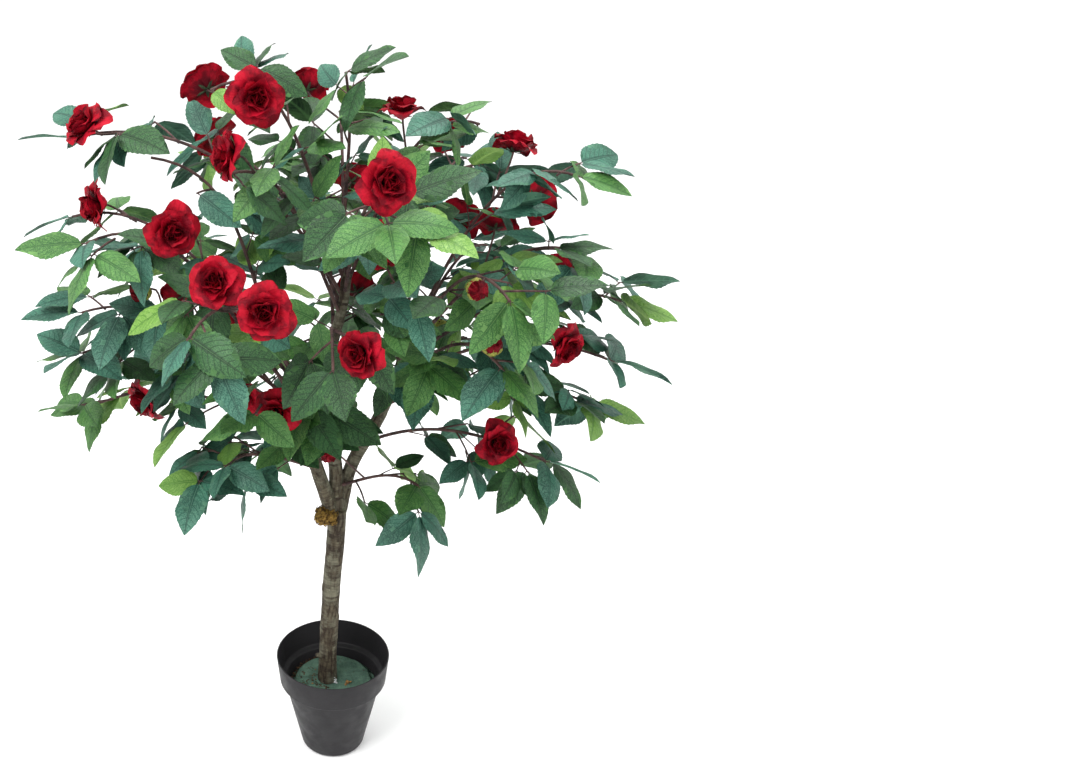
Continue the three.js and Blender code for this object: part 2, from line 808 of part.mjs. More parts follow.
// Side twigs stand by turns on either side of the stem. Of a few leans, the one that has room
// for the most leaves is kept.
function growTwig(spray, number) {
  const seed = 7919 * (spray.number + 1) + 104729 * (number + 1);
  const random = randomStream(seed);
  const { curve: stem, across } = spray.stem;
  const place = lerp(...TWIG.between, number / (spray.twigCount - 1));
  const share = place + TWIG.shift * (random() - 0.5);
  const foot = stem.getPoint(share);
  const onward = stem.getTangent(share);
  const lift = new THREE.Vector3().crossVectors(onward, across);
  const fullLength = TWIG.length * lerp(...TWIG.shorter, share) * (0.85 + 0.3 * random());
  let best = null;
  for (let attempt = 0; attempt < TWIG_TRIES; attempt++) {
    const hand = (number + (attempt >> 2)) % 2 ? 1 : -1;
    const aim = blend(
      [onward, 0.62],
      [across, hand * (0.6 + 0.4 * random())],
      [lift, 0.9 * (random() - 0.35)],
    );
    const length = fullLength * (1 - 0.07 * attempt);
    const end = mixed([foot, 1], [aim, length], [UP, -TWIG.sag * length]);
    const curve = new THREE.LineCurve3(foot, end);
    const points = [0, 0.25, 0.5, 0.75, 1].map((t) => curve.getPoint(t));
    if (!twigIsFree(spray, points, TWIG_CLEARANCE)) continue;
    const twigAcross = new THREE.Vector3().crossVectors(UP, curve.getTangent(1)).normalize();
    const blades = growCluster(spray, curve, twigAcross, seed + 31 * (attempt + 1));
    if (leafCount(blades) > (best ? leafCount(best.blades) : 0)) {
      best = { curve, across: twigAcross, blades };
    }
    if (leafCount(blades) === 3) break;
  }
  if (best) {
    spray.twigs.push(best);
    spray.leaves.push(...best.blades.filter(Boolean));
    spray.beads.push(...beadsAlong(best.curve, TWIG.radii[0], 10));
  }
}

sprays.forEach((spray) => {
  const { curve, across } = spray.stem;
  spray.stem.blades = growCluster(spray, curve, across, 977 * (spray.number + 1));
  spray.leaves.push(...spray.stem.blades.filter(Boolean));
});
sprays.forEach((spray) => {
  for (let i = spray.twigCount - 1; i >= 0; i--) growTwig(spray, i);
});

// ---------------------------------------------------------------- a spray's solid

// Adds a blade that grows out of the hole between left, right and the points under them: four
// corners from its left round to its right, and a keel under the midrib. The fold in its upper side
// starts at the higher edge of the hole, so that the blade is thick there.
function addBlade(points, faces, blade, left, right, under) {
  const at = points.length;
  const [leftCorner, tip, rightCorner, keel] = [at, at + 1, at + 2, at + 3];
  points.push(
    bladePoint(blade, LEAF.widest, -1),
    bladePoint(blade, 1, 0),
    bladePoint(blade, LEAF.widest, 1),
    bladePoint(blade, LEAF.keelAt, 0, -LEAF.thickness * blade.length),
  );
  const height = (corner) => points[corner].dot(blade.normal);
  if (height(left) > height(right)) {
    faces.push([left, leftCorner, rightCorner], [left, rightCorner, right]);
  } else {
    faces.push([left, leftCorner, right], [right, leftCorner, rightCorner]);
  }
  faces.push([leftCorner, tip, rightCorner]);
  const around = [right, rightCorner, tip, leftCorner, left, ...under];
  around.forEach((from, i) => faces.push([keel, from, around[(i + 1) % around.length]]));
}

// A three-sided shoot, flat on top, with a leaf at its end and one on either side of its end.
function shootSolid({ curve, across, blades }, radii, steps) {
  const neck = 1 - LEAF.neck / curve.getLength();
  const stations = [...Array.from({ length: steps }, (_, i) => i / steps), neck, 1];
  const points = stations.flatMap((t) => {
    const centre = curve.getPoint(t);
    const radius = lerp(radii[0], radii[1], t);
    const down = new THREE.Vector3().crossVectors(across, curve.getTangent(t)).normalize();
    return [
      mixed([centre, 1], [across, -0.87 * radius], [down, -0.5 * radius]),
      mixed([centre, 1], [across, 0.87 * radius], [down, -0.5 * radius]),
      mixed([centre, 1], [down, radius]),
    ];
  });
  const faces = [[0, 1, 2]];
  const last = stations.length - 2;
  const [endBlade, rightBlade, leftBlade] = blades;
  for (let i = 0; i <= last; i++) {
    const [l0, r0, b0, l1, r1, b1] = [0, 1, 2, 3, 4, 5].map((k) => 3 * i + k);
    faces.push([l0, l1, r1], [l0, r1, r0]);
    if (i === last && rightBlade) addBlade(points, faces, rightBlade, r1, r0, [b1, b0]);
    else faces.push([r0, r1, b1], [r0, b1, b0]);
    if (i === last && leftBlade) addBlade(points, faces, leftBlade, l0, l1, [b0, b1]);
    else faces.push([b0, l1, l0], [b0, b1, l1]);
  }
  const [l, r, b] = [0, 1, 2].map((k) => 3 * (last + 1) + k);
  if (endBlade) addBlade(points, faces, endBlade, l, r, [b]);
  else faces.push([l, b, r]);
  return solidOf(geometryFrom(points, faces));
}

function flowerSolid(flower) {
  if (flower.kind === "bud") {
    const half = BUD.length / 2;
    return solidOf(
      ringSolid(
        flower.at, flower.facing, [-half, half],
        [[BUD.radius, 0]],
        BUD.sides, 1,
      ),
    );
  }
  return solidOf(
    ringSolid(
      flower.at, flower.facing, [-BLOOM.back, BLOOM.dome * 0.85],
      [
        [BLOOM.radius, BLOOM.dome * 0.4],
        [BLOOM.radius * 0.6, BLOOM.dome],
      ],
      BLOOM.petals * 2, 0.86,
    ),
  );
}

function spraySolid(spray) {
  const pieces = [
    shootSolid(spray.stem, STEM.radii, STEM.steps),
    ...spray.twigs.map((twig) => shootSolid(twig, TWIG.radii, 1)),
    ...spray.flowers.map((f) => solidOf(taperedTube(f.twig, () => BLOOM.twigRadius, 1, 3))),
    ...spray.flowers.map(flowerSolid),
  ];
  return largestPiece(wasm.Manifold.union(pieces).subtract(carried));
}

// ---------------------------------------------------------------- moss

function mossSolid({ at, size }) {
  const lump = new THREE.IcosahedronGeometry(1, 1);
  const position = lump.getAttribute("position");
  const random = (x, y, z) => {
    const wave = Math.sin(12.9 * x + 78.2 * y + 37.7 * z) * 43758.5;
    return wave - Math.floor(wave);
  };
  for (let i = 0; i < position.count; i++) {
    const [x, y, z] = [position.getX(i), position.getY(i), position.getZ(i)];
    const [qx, qy, qz] = [x, y, z].map((v) => Math.round(v * 100) / 100);
    const bump = lerp(MOSS_HOLLOW, MOSS_BULGE, random(qx, qy, qz));
    position.setXYZ(
      i,
      at[0] + x * size[0] * bump,
      at[1] + y * size[1] * bump,
      at[2] + z * size[2] * bump,
    );
  }
  return solidOf(lump);
}

// ---------------------------------------------------------------- the tree

const tree = new THREE.Group();

function addPiece(name, geometry, material) {
  const mesh = new THREE.Mesh(geometry, material);
  mesh.name = name;
  tree.add(mesh);
}

addPiece("pot", potGeometry(), FINISH.pot);
addPiece("foam_fill", foamGeometry(), FINISH.foam);
addPiece("trunk", geometryOf(trunk.solid), FINISH.bark);
for (const [name, bough] of Object.entries(boughs)) {
  addPiece(`bough_${name}`, geometryOf(bough.solid), FINISH.bark);
}

// Moss parts round the stems that are plugged in through it.
const stemSleeves = wasm.Manifold.union(
  sprays.map(({ stem }) => {
    const sleeve = (STEM.radii[0] + SEAT_GAP) / Math.cos(Math.PI / 6);
    return solidOf(taperedTube(stem.curve, () => sleeve, STEM.steps, 6));
  }),
);
for (const [name, lump] of Object.entries(MOSS)) {
  const solid = mossSolid(lump).subtract(carried).subtract(stemSleeves);
  addPiece(`moss_${name}`, geometryOf(largestPiece(solid)), FINISH.moss);
}
for (const spray of sprays) {
  addPiece(`spray_${spray.name}`, geometryOf(spraySolid(spray)), FINISH.foliage);
}

export default tree;
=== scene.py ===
"""Artificial camellia tree in a nursery pot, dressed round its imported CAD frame.

The growing rule, its seeds and its sizes are the CAD source's own, in millimetres: stems, twigs, leaf
clusters and blooms stand where the solids have them, but for the leaves that would hide the fork. A
finer pass then adds more leaves on short side shoots inside the same reach. Meshes are made in metres,
in the CAD frame: +Z up, -Y the front.
"""

import json
import logging
import math
from collections.abc import Callable, Iterable, Sequence
from dataclasses import dataclass, field
from enum import Enum

import bmesh
import bpy
import numpy as np
from bpy.types import Material, Mesh, Node, NodeSocket as Socket, NodeTree, Object
from mathutils import Matrix, Vector, noise

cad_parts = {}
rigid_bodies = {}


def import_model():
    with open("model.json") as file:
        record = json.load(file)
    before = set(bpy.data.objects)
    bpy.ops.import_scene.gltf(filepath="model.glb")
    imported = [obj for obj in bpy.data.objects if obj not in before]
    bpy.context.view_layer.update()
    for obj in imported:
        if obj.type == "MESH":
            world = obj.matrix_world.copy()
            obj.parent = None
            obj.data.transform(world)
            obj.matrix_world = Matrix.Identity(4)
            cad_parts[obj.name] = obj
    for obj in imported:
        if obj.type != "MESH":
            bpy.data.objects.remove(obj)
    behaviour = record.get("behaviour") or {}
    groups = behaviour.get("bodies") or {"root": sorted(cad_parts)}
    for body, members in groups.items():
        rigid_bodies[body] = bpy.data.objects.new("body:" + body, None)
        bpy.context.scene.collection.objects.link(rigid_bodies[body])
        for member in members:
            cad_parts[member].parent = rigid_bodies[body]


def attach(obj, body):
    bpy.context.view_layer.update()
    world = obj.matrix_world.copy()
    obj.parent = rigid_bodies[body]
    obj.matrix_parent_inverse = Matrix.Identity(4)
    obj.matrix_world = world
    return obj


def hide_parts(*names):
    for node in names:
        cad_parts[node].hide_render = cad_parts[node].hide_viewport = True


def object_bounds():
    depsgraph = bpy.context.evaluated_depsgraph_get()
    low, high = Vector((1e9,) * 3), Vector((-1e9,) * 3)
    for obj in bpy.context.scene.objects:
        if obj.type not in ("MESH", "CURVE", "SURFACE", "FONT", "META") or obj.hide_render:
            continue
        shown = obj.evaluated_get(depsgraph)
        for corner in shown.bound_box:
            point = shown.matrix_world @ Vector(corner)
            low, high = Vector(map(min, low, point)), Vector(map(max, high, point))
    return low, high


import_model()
CAD_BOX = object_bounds()

LOG = logging.getLogger("camellia")
MM = 0.001
UP = np.array([0.0, 0.0, 1.0])
UP_VECTOR = Vector((0.0, 0.0, 1.0))
SIDEWAYS = np.array([1.0, 0.0, 0.0])
ODD_WAY = np.array([0.31, 0.47, 0.83])
GOLDEN_ANGLE = 137.5
WORD = 0xFFFFFFFF
BODY = "root"

Array = np.ndarray
Pair = tuple[float, float]
Triple = tuple[float, float, float]
Colour = tuple[float, float, float, float]
Quint = tuple[float, float, float, float, float]


# ---------------------------------------------------------------- sizes, in millimetres


@dataclass(frozen=True)
class PotSizes:
    """The nursery pot: its rim, collar, body and wall."""

    rim_radius: float = 93.5
    height: float = 179.0
    wall: float = 2.2
    collar_height: float = 47.0
    collar_foot_radius: float = 88.5
    body_top_radius: float = 80.0
    step: float = 4.0
    shelf: float = 3.2
    base_radius: float = 52.5
    floor: float = 3.0

    @property
    def collar_foot(self) -> float:
        """Height of the collar's foot."""
        return self.height - self.collar_height

    def inner_radius(self, height: float) -> float:
        """Radius of the body's inside at a height.

        Args:
            height: height over the pot's underside.

        Returns:
            The inside radius there.
        """
        share = (height - self.floor) / (self.collar_foot - self.floor)
        return self.base_radius + (self.body_top_radius - self.base_radius) * share - self.wall


@dataclass(frozen=True)
class FoamSizes:
    """The green fill and the raised plug round the trunk."""

    top: float = 126.0
    plug_radius: float = 64.0
    plug_height: float = 12.0
    edge_round: float = 4.0


@dataclass(frozen=True)
class LimbPlan:
    """A limb's centre line, its radii from foot to tip, and the flare of its foot."""

    points: tuple[Triple, ...]
    radii: tuple[float, float]
    flare: float = 0.0
    flare_height: float = 1.0


@dataclass(frozen=True)
class MossPlan:
    """A lump of moss: its centre and its half sizes."""

    at: Triple
    size: Triple


@dataclass(frozen=True)
class SprayPlan:
    """Where a spray is plugged in, how its stem arches, and what it carries.

    Blooms and buds are x, y, z, azimuth and elevation of the heart and of the way that it faces.
    """

    name: str
    bough: str
    at: float
    tip: Triple
    rise: float
    fall: float
    twigs: int
    blooms: tuple[Quint, ...] = ()
    buds: tuple[Quint, ...] = ()


@dataclass(frozen=True)
class StemSizes:
    """Stems and twigs: radii, shares of the span, how twigs stand on a stem, and the beads of each."""

    radii: Pair = (3.0, 1.9)
    steps: int = 6
    leaving: float = 0.42
    ending: float = 0.36
    twig_radii: Pair = (1.7, 1.3)
    twig_length: float = 84.0
    twig_shorter: Pair = (1.1, 0.6)
    twig_between: Pair = (0.26, 0.92)
    twig_shift: float = 0.03
    twig_sag: float = 0.12
    heart_at: float = 0.66
    beads: int = 60
    twig_beads: int = 10
    twig_spread: Pair = (0.85, 0.3)
    twig_onward: float = 0.62
    twig_aside: Pair = (0.6, 0.4)
    twig_lift: Pair = (0.9, 0.35)
    twig_step: float = 0.07
    twig_bow: float = 0.025
    fine_radii: Triple = (1.15, 1.0, 0.8)
    flower_lowest: float = 0.2
    flower_before: float = 0.12


@dataclass(frozen=True)
class LeafSizes:
    """A leaf: its length, its other sizes as shares of that, how it leans, and its stalk."""

    length: float = 82.0
    length_spread: float = 0.15
    width: float = 0.6
    widest: float = 0.46
    neck: float = 4.0
    droop: float = 0.18
    side_angles: Pair = (66.0, 84.0)
    end_angle: float = 24.0
    tilts: Pair = (-0.85, 0.3)
    level: float = 0.35
    stalk_shares: Triple = (0.0, 0.035, 0.075)
    stalk_radii: Triple = (1.0, 0.8, 0.62)
    facing_up: float = 0.9
    facing_out: float = 0.7
    facing_stray: float = 0.9


@dataclass(frozen=True)
class FlowerSizes:
    """The space that a bloom or a bud takes, and its twig's radii and beads."""

    radius: float
    back: float
    dome: float
    twig_radius: float = 1.7
    twig_tip_radius: float = 1.5
    twig_beads: int = 12
    spot_turns: int = 10
    spot_shares: Pair = (0.5, 0.95)
    spot_rise: float = 0.35


@dataclass(frozen=True)
class Seeds:
    """The factors that turn a place in a table into a seed, and the seeds of single streams."""

    stem: int = 977
    spray: int = 7919
    twig: int = 104729
    attempt: int = 31
    fine: int = 523
    chains: int = 613
    leaves: int = 4021
    tints: int = 37
    flowers: int = 2203
    crumb_shapes: int = 71
    soil: int = 907
    soil_turns: int = 11
    bark_turns: int = 12
    glue_turns: int = 13
    moss: int = 17


SEEDS = Seeds()
POT = PotSizes()
FOAM = FoamSizes()
STEM = StemSizes()
LEAF = LeafSizes()
BLOOM = FlowerSizes(radius=41.0, back=7.0, dome=23.0)
BUD = FlowerSizes(radius=13.0, back=15.0, dome=15.0)
SEAT_GAP = 0.3
MOSS_BULGE = 1.1
LOWEST_LEAF = 219.0

TRUNK = LimbPlan(
    ((-9.5, 0, 116), (-8, 0, 190), (-3, 1, 300), (4, 0, 400), (8, 0, 470)),
    (14.8, 14.2), flare=3.2, flare_height=60.0,
)
BOUGHS: dict[str, LimbPlan] = {
    "left": LimbPlan(
        ((2, -2, 444), (-14, -10, 505), (-34, -20, 580), (-46, -27, 650), (-50, -30, 706)),
        (11.8, 8.6),
    ),
    "centre": LimbPlan(
        ((6, 1, 452), (4, 3, 530), (-6, 5, 624), (-3, 9, 725), (14, 12, 800), (20, 12, 850)),
        (11.5, 7.2),
    ),
    "right": LimbPlan(
        ((10, 4, 450), (28, 13, 530), (70, 20, 612), (100, 25, 690), (110, 27, 745)),
        (11.2, 8.2),
    ),
}
MOSS: dict[str, MossPlan] = {
    "fork": MossPlan((-11, -10, 455), (21, 19, 19)),
    "left_bough_top": MossPlan((-47, -28, 684), (16, 15, 11)),
    "right_bough_top": MossPlan((107, 26, 722), (16, 15, 12)),
}

SPRAYS = tuple(SprayPlan(*row) for row in (
    ("crown_tip", "centre", 1, (17, 12, 1140), 9, 6, 6),
    ("top_left_arch", "centre", 0.96, (-160, -40, 1128), 2.6, -0.5, 6,
     ((-172, 10, 1120, 120, 25), (-97, -112, 1136, 284, 8))),
    ("upper_left", "centre", 0.9, (-351, -28, 1060), 2.1, -0.25, 7, ((-322, -52, 1080, 205, 50),)),
    ("left_shoulder", "left", 0.945, (-240, -70, 1046), 1.7, 0.2, 6),
    ("inner_left_rise", "centre", 0.84, (-140, -170, 1050), 1.7, -0.1, 6, ((-124, -168, 1078, 196, 8),)),
    ("left_high", "left", 0.9, (-372, 30, 930), 1.5, -0.35, 6, ((-330, 20, 950, 205, -5),)),
    ("left_front", "left", 0.86, (-325, -125, 946), 1.2, -0.4, 6, ((-205, -170, 980, 292, 5),)),
    ("left_middle", "left", 0.8, (-352, -60, 820), 0.9, -0.3, 6,
     ((-222, 48, 806, 130, 15),), ((-262, -96, 866, 196, -12),)),
    ("front_left", "left", 0.985, (-176, -290, 884), 1.1, -0.5, 6,
     ((-146, -226, 930, 262, 34), (-82, -298, 922, 270, 20))),
    ("left_low_mid", "left", 0.7, (-362, -30, 744), 0.6, -0.4, 6, ((-131, -52, 688, 250, 4),)),
    ("left_low", "left", 0.62, (-356, 20, 636), 0.45, -0.5, 6, ((-272, -36, 674, 215, -18),)),
    ("left_skirt", "left", 0.38, (-190, -50, 566), 0.5, -0.5, 6),
    ("front_high", "centre", 0.92, (66, -270, 1024), 1.5, -0.3, 6, ((64, -262, 1072, 288, 18),)),
    ("front_centre", "centre", 0.66, (0, -270, 830), 1.2, -0.4, 6, ((36, -250, 846, 236, 10),)),
    ("front_low_left", "left", 0.5, (-104, -190, 728), 0.9, -0.4, 5, ((-76, -166, 718, 254, 4),)),
    ("front_skirt", "centre", 0.12, (128, -52, 534), 0.5, -0.5, 3, (), ((-6, -92, 612, 262, 12),)),
    ("right_skirt", "right", 0.4, (318, -50, 574), 0.6, -0.4, 6, ((238, -76, 622, 292, 10),)),
    ("right_low", "right", 0.62, (386, -20, 652), 0.7, -0.5, 6),
    ("right_low_mid", "right", 0.74, (408, -10, 722), 0.8, -0.4, 6, ((324, -66, 772, 312, -8),)),
    ("right_middle", "right", 0.83, (424, 30, 800), 1, -0.35, 6, ((330, 48, 838, 70, 15),)),
    ("right_upper_mid", "right", 0.9, (350, -40, 900), 1.3, -0.3, 6, ((236, 60, 906, 80, 40),)),
    ("right_high", "right", 0.955, (344, 20, 992), 2.2, -0.4, 6,
     ((256, 52, 1024, 60, 60), (290, 44, 950, 48, -16))),
    ("top_right", "centre", 0.94, (206, 60, 1056), 2.4, -0.4, 6, ((98, 66, 1070, 90, 76),)),
    ("front_right", "right", 0.92, (222, -230, 908), 1.2, -0.4, 6, (), ((180, -236, 926, 276, 18),)),
    ("front_right_low", "right", 0.7, (222, -200, 800), 1, -0.4, 6, (), ((208, -196, 832, 280, 72),)),
    ("front_middle", "right", 0.86, (104, -240, 900), 1.1, -0.3, 6, ((70, -66, 922, 318, 2),)),
    ("right_rise", "right", 1, (183, -72, 1034), 2.8, 0.4, 6),
    ("back_high", "centre", 0.93, (10, 230, 1030), 2, -0.3, 6, ((-40, 240, 1064, 100, 30),)),
    ("back_left_high", "centre", 0.86, (-200, 240, 968), 1.6, -0.3, 6, ((-180, 196, 1000, 135, 20),)),
    ("back_left", "left", 0.75, (-290, 200, 812), 1, -0.4, 6, ((-250, 246, 836, 120, 10),)),
    ("back_left_low", "left", 0.56, (-203, 238, 643), 0.6, -0.4, 6, ((-150, 236, 676, 110, 0),)),
    ("back_low", "centre", 0.46, (10, 320, 664), 0.8, -0.4, 6, ((40, 300, 706, 80, 5),)),
    ("back_middle", "centre", 0.74, (-20, 370, 852), 1.2, -0.4, 7,
     ((30, 350, 884, 85, 15),), ((-60, 352, 840, 100, 0),)),
    ("back_right", "right", 0.8, (250, 262, 802), 1, -0.4, 6, ((210, 292, 836, 65, 10),)),
    ("back_right_low", "right", 0.56, (222, 232, 650), 0.7, -0.4, 6, (), ((176, 226, 676, 60, 10),)),
    ("back_right_high", "right", 0.94, (206, 226, 958), 1.8, -0.4, 6, ((170, 240, 990, 70, 30),)),
))


# ---------------------------------------------------------------- numbers and curves


class RandomStream:
    """A small repeatable generator, the same as the CAD source's."""

    STEP = 0x6D2B79F5

    def __init__(self, seed: int) -> None:
        """Starts the stream at a seed."""
        self.state = seed & WORD

    def next(self) -> float:
        """The next number, from 0 to 1."""
        self.state = (self.state + self.STEP) & WORD
        t = self.state
        t = ((t ^ (t >> 15)) * (t | 1)) & WORD
        t ^= (t + (t ^ (t >> 7)) * (t | 61)) & WORD
        return ((t ^ (t >> 14)) & WORD) / (WORD + 1)

    def between(self, low: float, high: float) -> float:
        """A number from low to high."""
        return low + (high - low) * self.next()


def lerp(low: float, high: float, share: float) -> float:
    """The value that share of the way from low to high."""
    return low + (high - low) * share


def unit(vector: Array) -> Array:
    """The vector at length 1."""
    return vector / math.sqrt(float(vector @ vector))


def cross(a: Array, b: Array) -> Array:
    """The cross product of two vectors."""
    return np.array([a[1] * b[2] - a[2] * b[1], a[2] * b[0] - a[0] * b[2], a[0] * b[1] - a[1] * b[0]])


def blend(*terms: tuple[Array, float]) -> Array:
    """The direction of a weighted sum of vectors."""
    return unit(sum(vector * share for vector, share in terms))


def heading(azimuth: float, elevation: float) -> Array:
    """The direction at an azimuth and an elevation, in degrees."""
    a, e = math.radians(azimuth), math.radians(elevation)
    return np.array([math.cos(a) * math.cos(e), math.sin(a) * math.cos(e), math.sin(e)])


def disc_axes(facing: Array) -> tuple[Array, Array]:
    """Two directions across a disc that faces a way."""
    side = unit(cross(ODD_WAY, facing))
    return side, cross(facing, side)


def limb_axes(way: Array) -> tuple[Array, Array]:
    """Two directions across a limb that runs a way."""
    way = unit(way)
    second = unit(cross(way, SIDEWAYS))
    return cross(second, way), second


def turns(count: int) -> list[float]:
    """Even angles round a circle."""
    return [2 * math.pi * k / count for k in range(count)]


class Line:
    """A line that is read at shares of its length."""

    def point(self, share: float) -> Array:
        """The point at a share of the length."""
        raise NotImplementedError

    def points(self, shares: Iterable[float]) -> Array:
        """The points at several shares, one a row."""
        return np.array([self.point(share) for share in shares])


class Curve(Line):
    """A curve with its own parameter, read at even shares of its length."""

    DIVISIONS = 200

    def __init__(self, raw: Callable[[float], Array]) -> None:
        """Measures the curve.

        Args:
            raw: gives the point at the curve's own parameter, from 0 to 1.
        """
        self.raw = raw
        points = np.array([raw(i / self.DIVISIONS) for i in range(self.DIVISIONS + 1)])
        runs = np.linalg.norm(np.diff(points, axis=0), axis=1)
        self.lengths = np.concatenate([[0.0], np.cumsum(runs)])
        self.length = float(self.lengths[-1])

    def point(self, share: float) -> Array:
        """The point at a share of the length."""
        spread = np.linspace(0.0, 1.0, self.DIVISIONS + 1)
        return self.raw(float(np.interp(share * self.length, self.lengths, spread)))


class BrokenLine(Line):
    """Straight runs between corners."""

    def __init__(self, corners: Sequence[Array]) -> None:
        """Joins the corners."""
        self.corners = np.array(corners)
        runs = np.linalg.norm(np.diff(self.corners, axis=0), axis=1)
        self.ends = np.cumsum(runs)
        self.length = float(self.ends[-1])

    def point(self, share: float) -> Array:
        """The point at a share of the length."""
        reach = share * self.length
        run = min(int(np.searchsorted(self.ends, reach)), len(self.ends) - 1)
        start = self.ends[run - 1] if run else 0.0
        part = (reach - start) / (self.ends[run] - start)
        return self.corners[run] + (self.corners[run + 1] - self.corners[run]) * part

    def tangent(self, share: float) -> Array:
        """The direction at a share of the length."""
        return unit(self.point(min(1.0, share + 1e-4)) - self.point(max(0.0, share - 1e-4)))


def bezier(points: Sequence[Array]) -> Curve:
    """A cubic curve through its four control points."""
    a, b, c, d = points

    def raw(t: float) -> Array:
        """The point at parameter t."""
        s = 1 - t
        return s * s * s * a + 3 * s * s * t * b + 3 * s * t * t * c + t * t * t * d

    return Curve(raw)


def centripetal(points: Sequence[Triple]) -> Curve:
    """A smooth curve through points, with centripetal spacing."""
    knots = np.array(points, float)
    first = 2 * knots[0] - knots[1]
    last = 2 * knots[-1] - knots[-2]
    padded = np.vstack([first, knots, last])

    def raw(t: float) -> Array:
        """The point at parameter t."""
        place = t * (len(knots) - 1)
        run = min(int(place), len(knots) - 2)
        w = place - run
        p0, p1, p2, p3 = padded[run:run + 4]
        d0, d1, d2 = (math.sqrt(float(np.linalg.norm(b - a))) for a, b in ((p0, p1), (p1, p2), (p2, p3)))
        t1 = ((p1 - p0) / d0 - (p2 - p0) / (d0 + d1) + (p2 - p1) / d1) * d1
        t2 = ((p2 - p1) / d1 - (p3 - p1) / (d1 + d2) + (p3 - p2) / d2) * d1
        return (p1 + t1 * w + (-3 * p1 + 3 * p2 - 2 * t1 - t2) * w * w
            + (2 * p1 - 2 * p2 + t1 + t2) * w * w * w)

    return Curve(raw)


class Limb:
    """The trunk or a bough: its curve and its radius along it."""

    def __init__(self, plan: LimbPlan) -> None:
        """Lays the limb out from its plan."""
        self.plan = plan
        self.curve = centripetal(plan.points)

    def radius(self, share: float) -> float:
        """The radius at a share of the length."""
        rise = 1 - min(1.0, share * self.curve.length / self.plan.flare_height)
        return lerp(*self.plan.radii, share) + self.plan.flare * rise * rise

    def beads(self) -> tuple[list[Array], list[float]]:
        """Points along the limb and its radius there."""
        count = math.ceil(self.curve.length / 6)
        shares = [i / count for i in range(count + 1)]
        return [self.curve.point(s) for s in shares], [self.radius(s) for s in shares]


# ---------------------------------------------------------------- blades


SPOTS = ((0.25, 0), (0.25, -0.5), (0.25, 0.5), (0.46, -1), (0.46, 0), (0.46, 1),
         (0.72, -0.5), (0.72, 0.5), (1, 0))
SPOT_WEIGHTS = np.array([
    [share, side * LEAF.width / 2, -LEAF.droop * share * share] for share, side in SPOTS
])


@dataclass
class Blade:
    """A leaf in its own frame: along, across and normal, from its base."""

    base: Array
    along: Array
    across: Array
    normal: Array
    length: float

    @classmethod
    def facing(cls, base: Array, along: Array, facing: Array, length: float) -> "Blade":
        """Lays a blade along one direction, facing another.

        Args:
            base: where the leaf starts.
            along: the way that its midrib runs.
            facing: roughly the way that its upper side faces.
            length: its length.

        Returns:
            The blade.
        """
        across = unit(cross(facing, along))
        return cls(base, along, across, unit(cross(along, across)), length)

    @property
    def frame(self) -> Array:
        """The blade's axes, one a row."""
        return np.array([self.along, self.across, self.normal])

    def spots(self) -> Array:
        """Nine points spread over the blade."""
        return self.base + (SPOT_WEIGHTS * self.length) @ self.frame


def touching(blades: Sequence[Blade], points: Array, clearance: Array | float) -> Array:
    """Tests points against blades.

    Args:
        blades: the blades.
        points: the points, one a row.
        clearance: the radius of the ball round every point, or one for each.

    Returns:
        A table, one row a blade and one column a point, true where they touch.
    """
    base = np.array([b.base for b in blades])
    frames = np.array([b.frame for b in blades])
    length = np.array([b.length for b in blades])[:, None]
    away = np.einsum("bij,bpj->bip", frames, points[None] - base[:, None])
    share = away[:, 0] / length
    edge = clearance / length
    inside = np.clip(share, 0.0, 1.0)
    half = 0.5 * LEAF.width * np.minimum(inside / LEAF.widest, (1 - inside) / (1 - LEAF.widest))
    surface = -LEAF.droop * inside * inside * length
    return (
        (share >= -edge) & (share <= 1 + edge)
        & (np.abs(away[:, 1]) <= half * length + clearance)
        & (np.abs(away[:, 2] - surface) < clearance + 1)
    )


def blades_touch(one: Blade, others: Sequence[Blade], clearance: float) -> bool:
    """True where a blade comes within the clearance of any of the others."""
    if not others:
        return False
    if touching(others, one.spots(), clearance).any():
        return True
    spots = np.concatenate([other.spots() for other in others])
    return bool(touching([one], spots, clearance).any())


@dataclass
class Shoot:
    """A stem or twig with the leaves that grow from it."""

    line: BrokenLine
    across: Array
    blades: list[Blade] = field(default_factory=list)


@dataclass
class Flower:
    """A bloom or a bud on its own twig."""

    sizes: FlowerSizes
    at: Array
    facing: Array
    line: BrokenLine

    def spots(self) -> Array:
        """Points spread over the flower's disc."""
        side, other = disc_axes(self.facing)
        spots = [self.at]
        for angle in turns(self.sizes.spot_turns):
            for share in self.sizes.spot_shares:
                reach = share * self.sizes.radius
                spots.append(self.at + side * reach * math.cos(angle) + other * reach * math.sin(angle)
                             + self.facing * self.sizes.spot_rise * self.sizes.dome)
        return np.array(spots)


def bead_row(line: BrokenLine, radius: float, count: int) -> tuple[list[Array], list[float]]:
    """Evenly spaced points of a line, each with the same radius."""
    return [line.point(i / count) for i in range(count + 1)], [radius] * (count + 1)


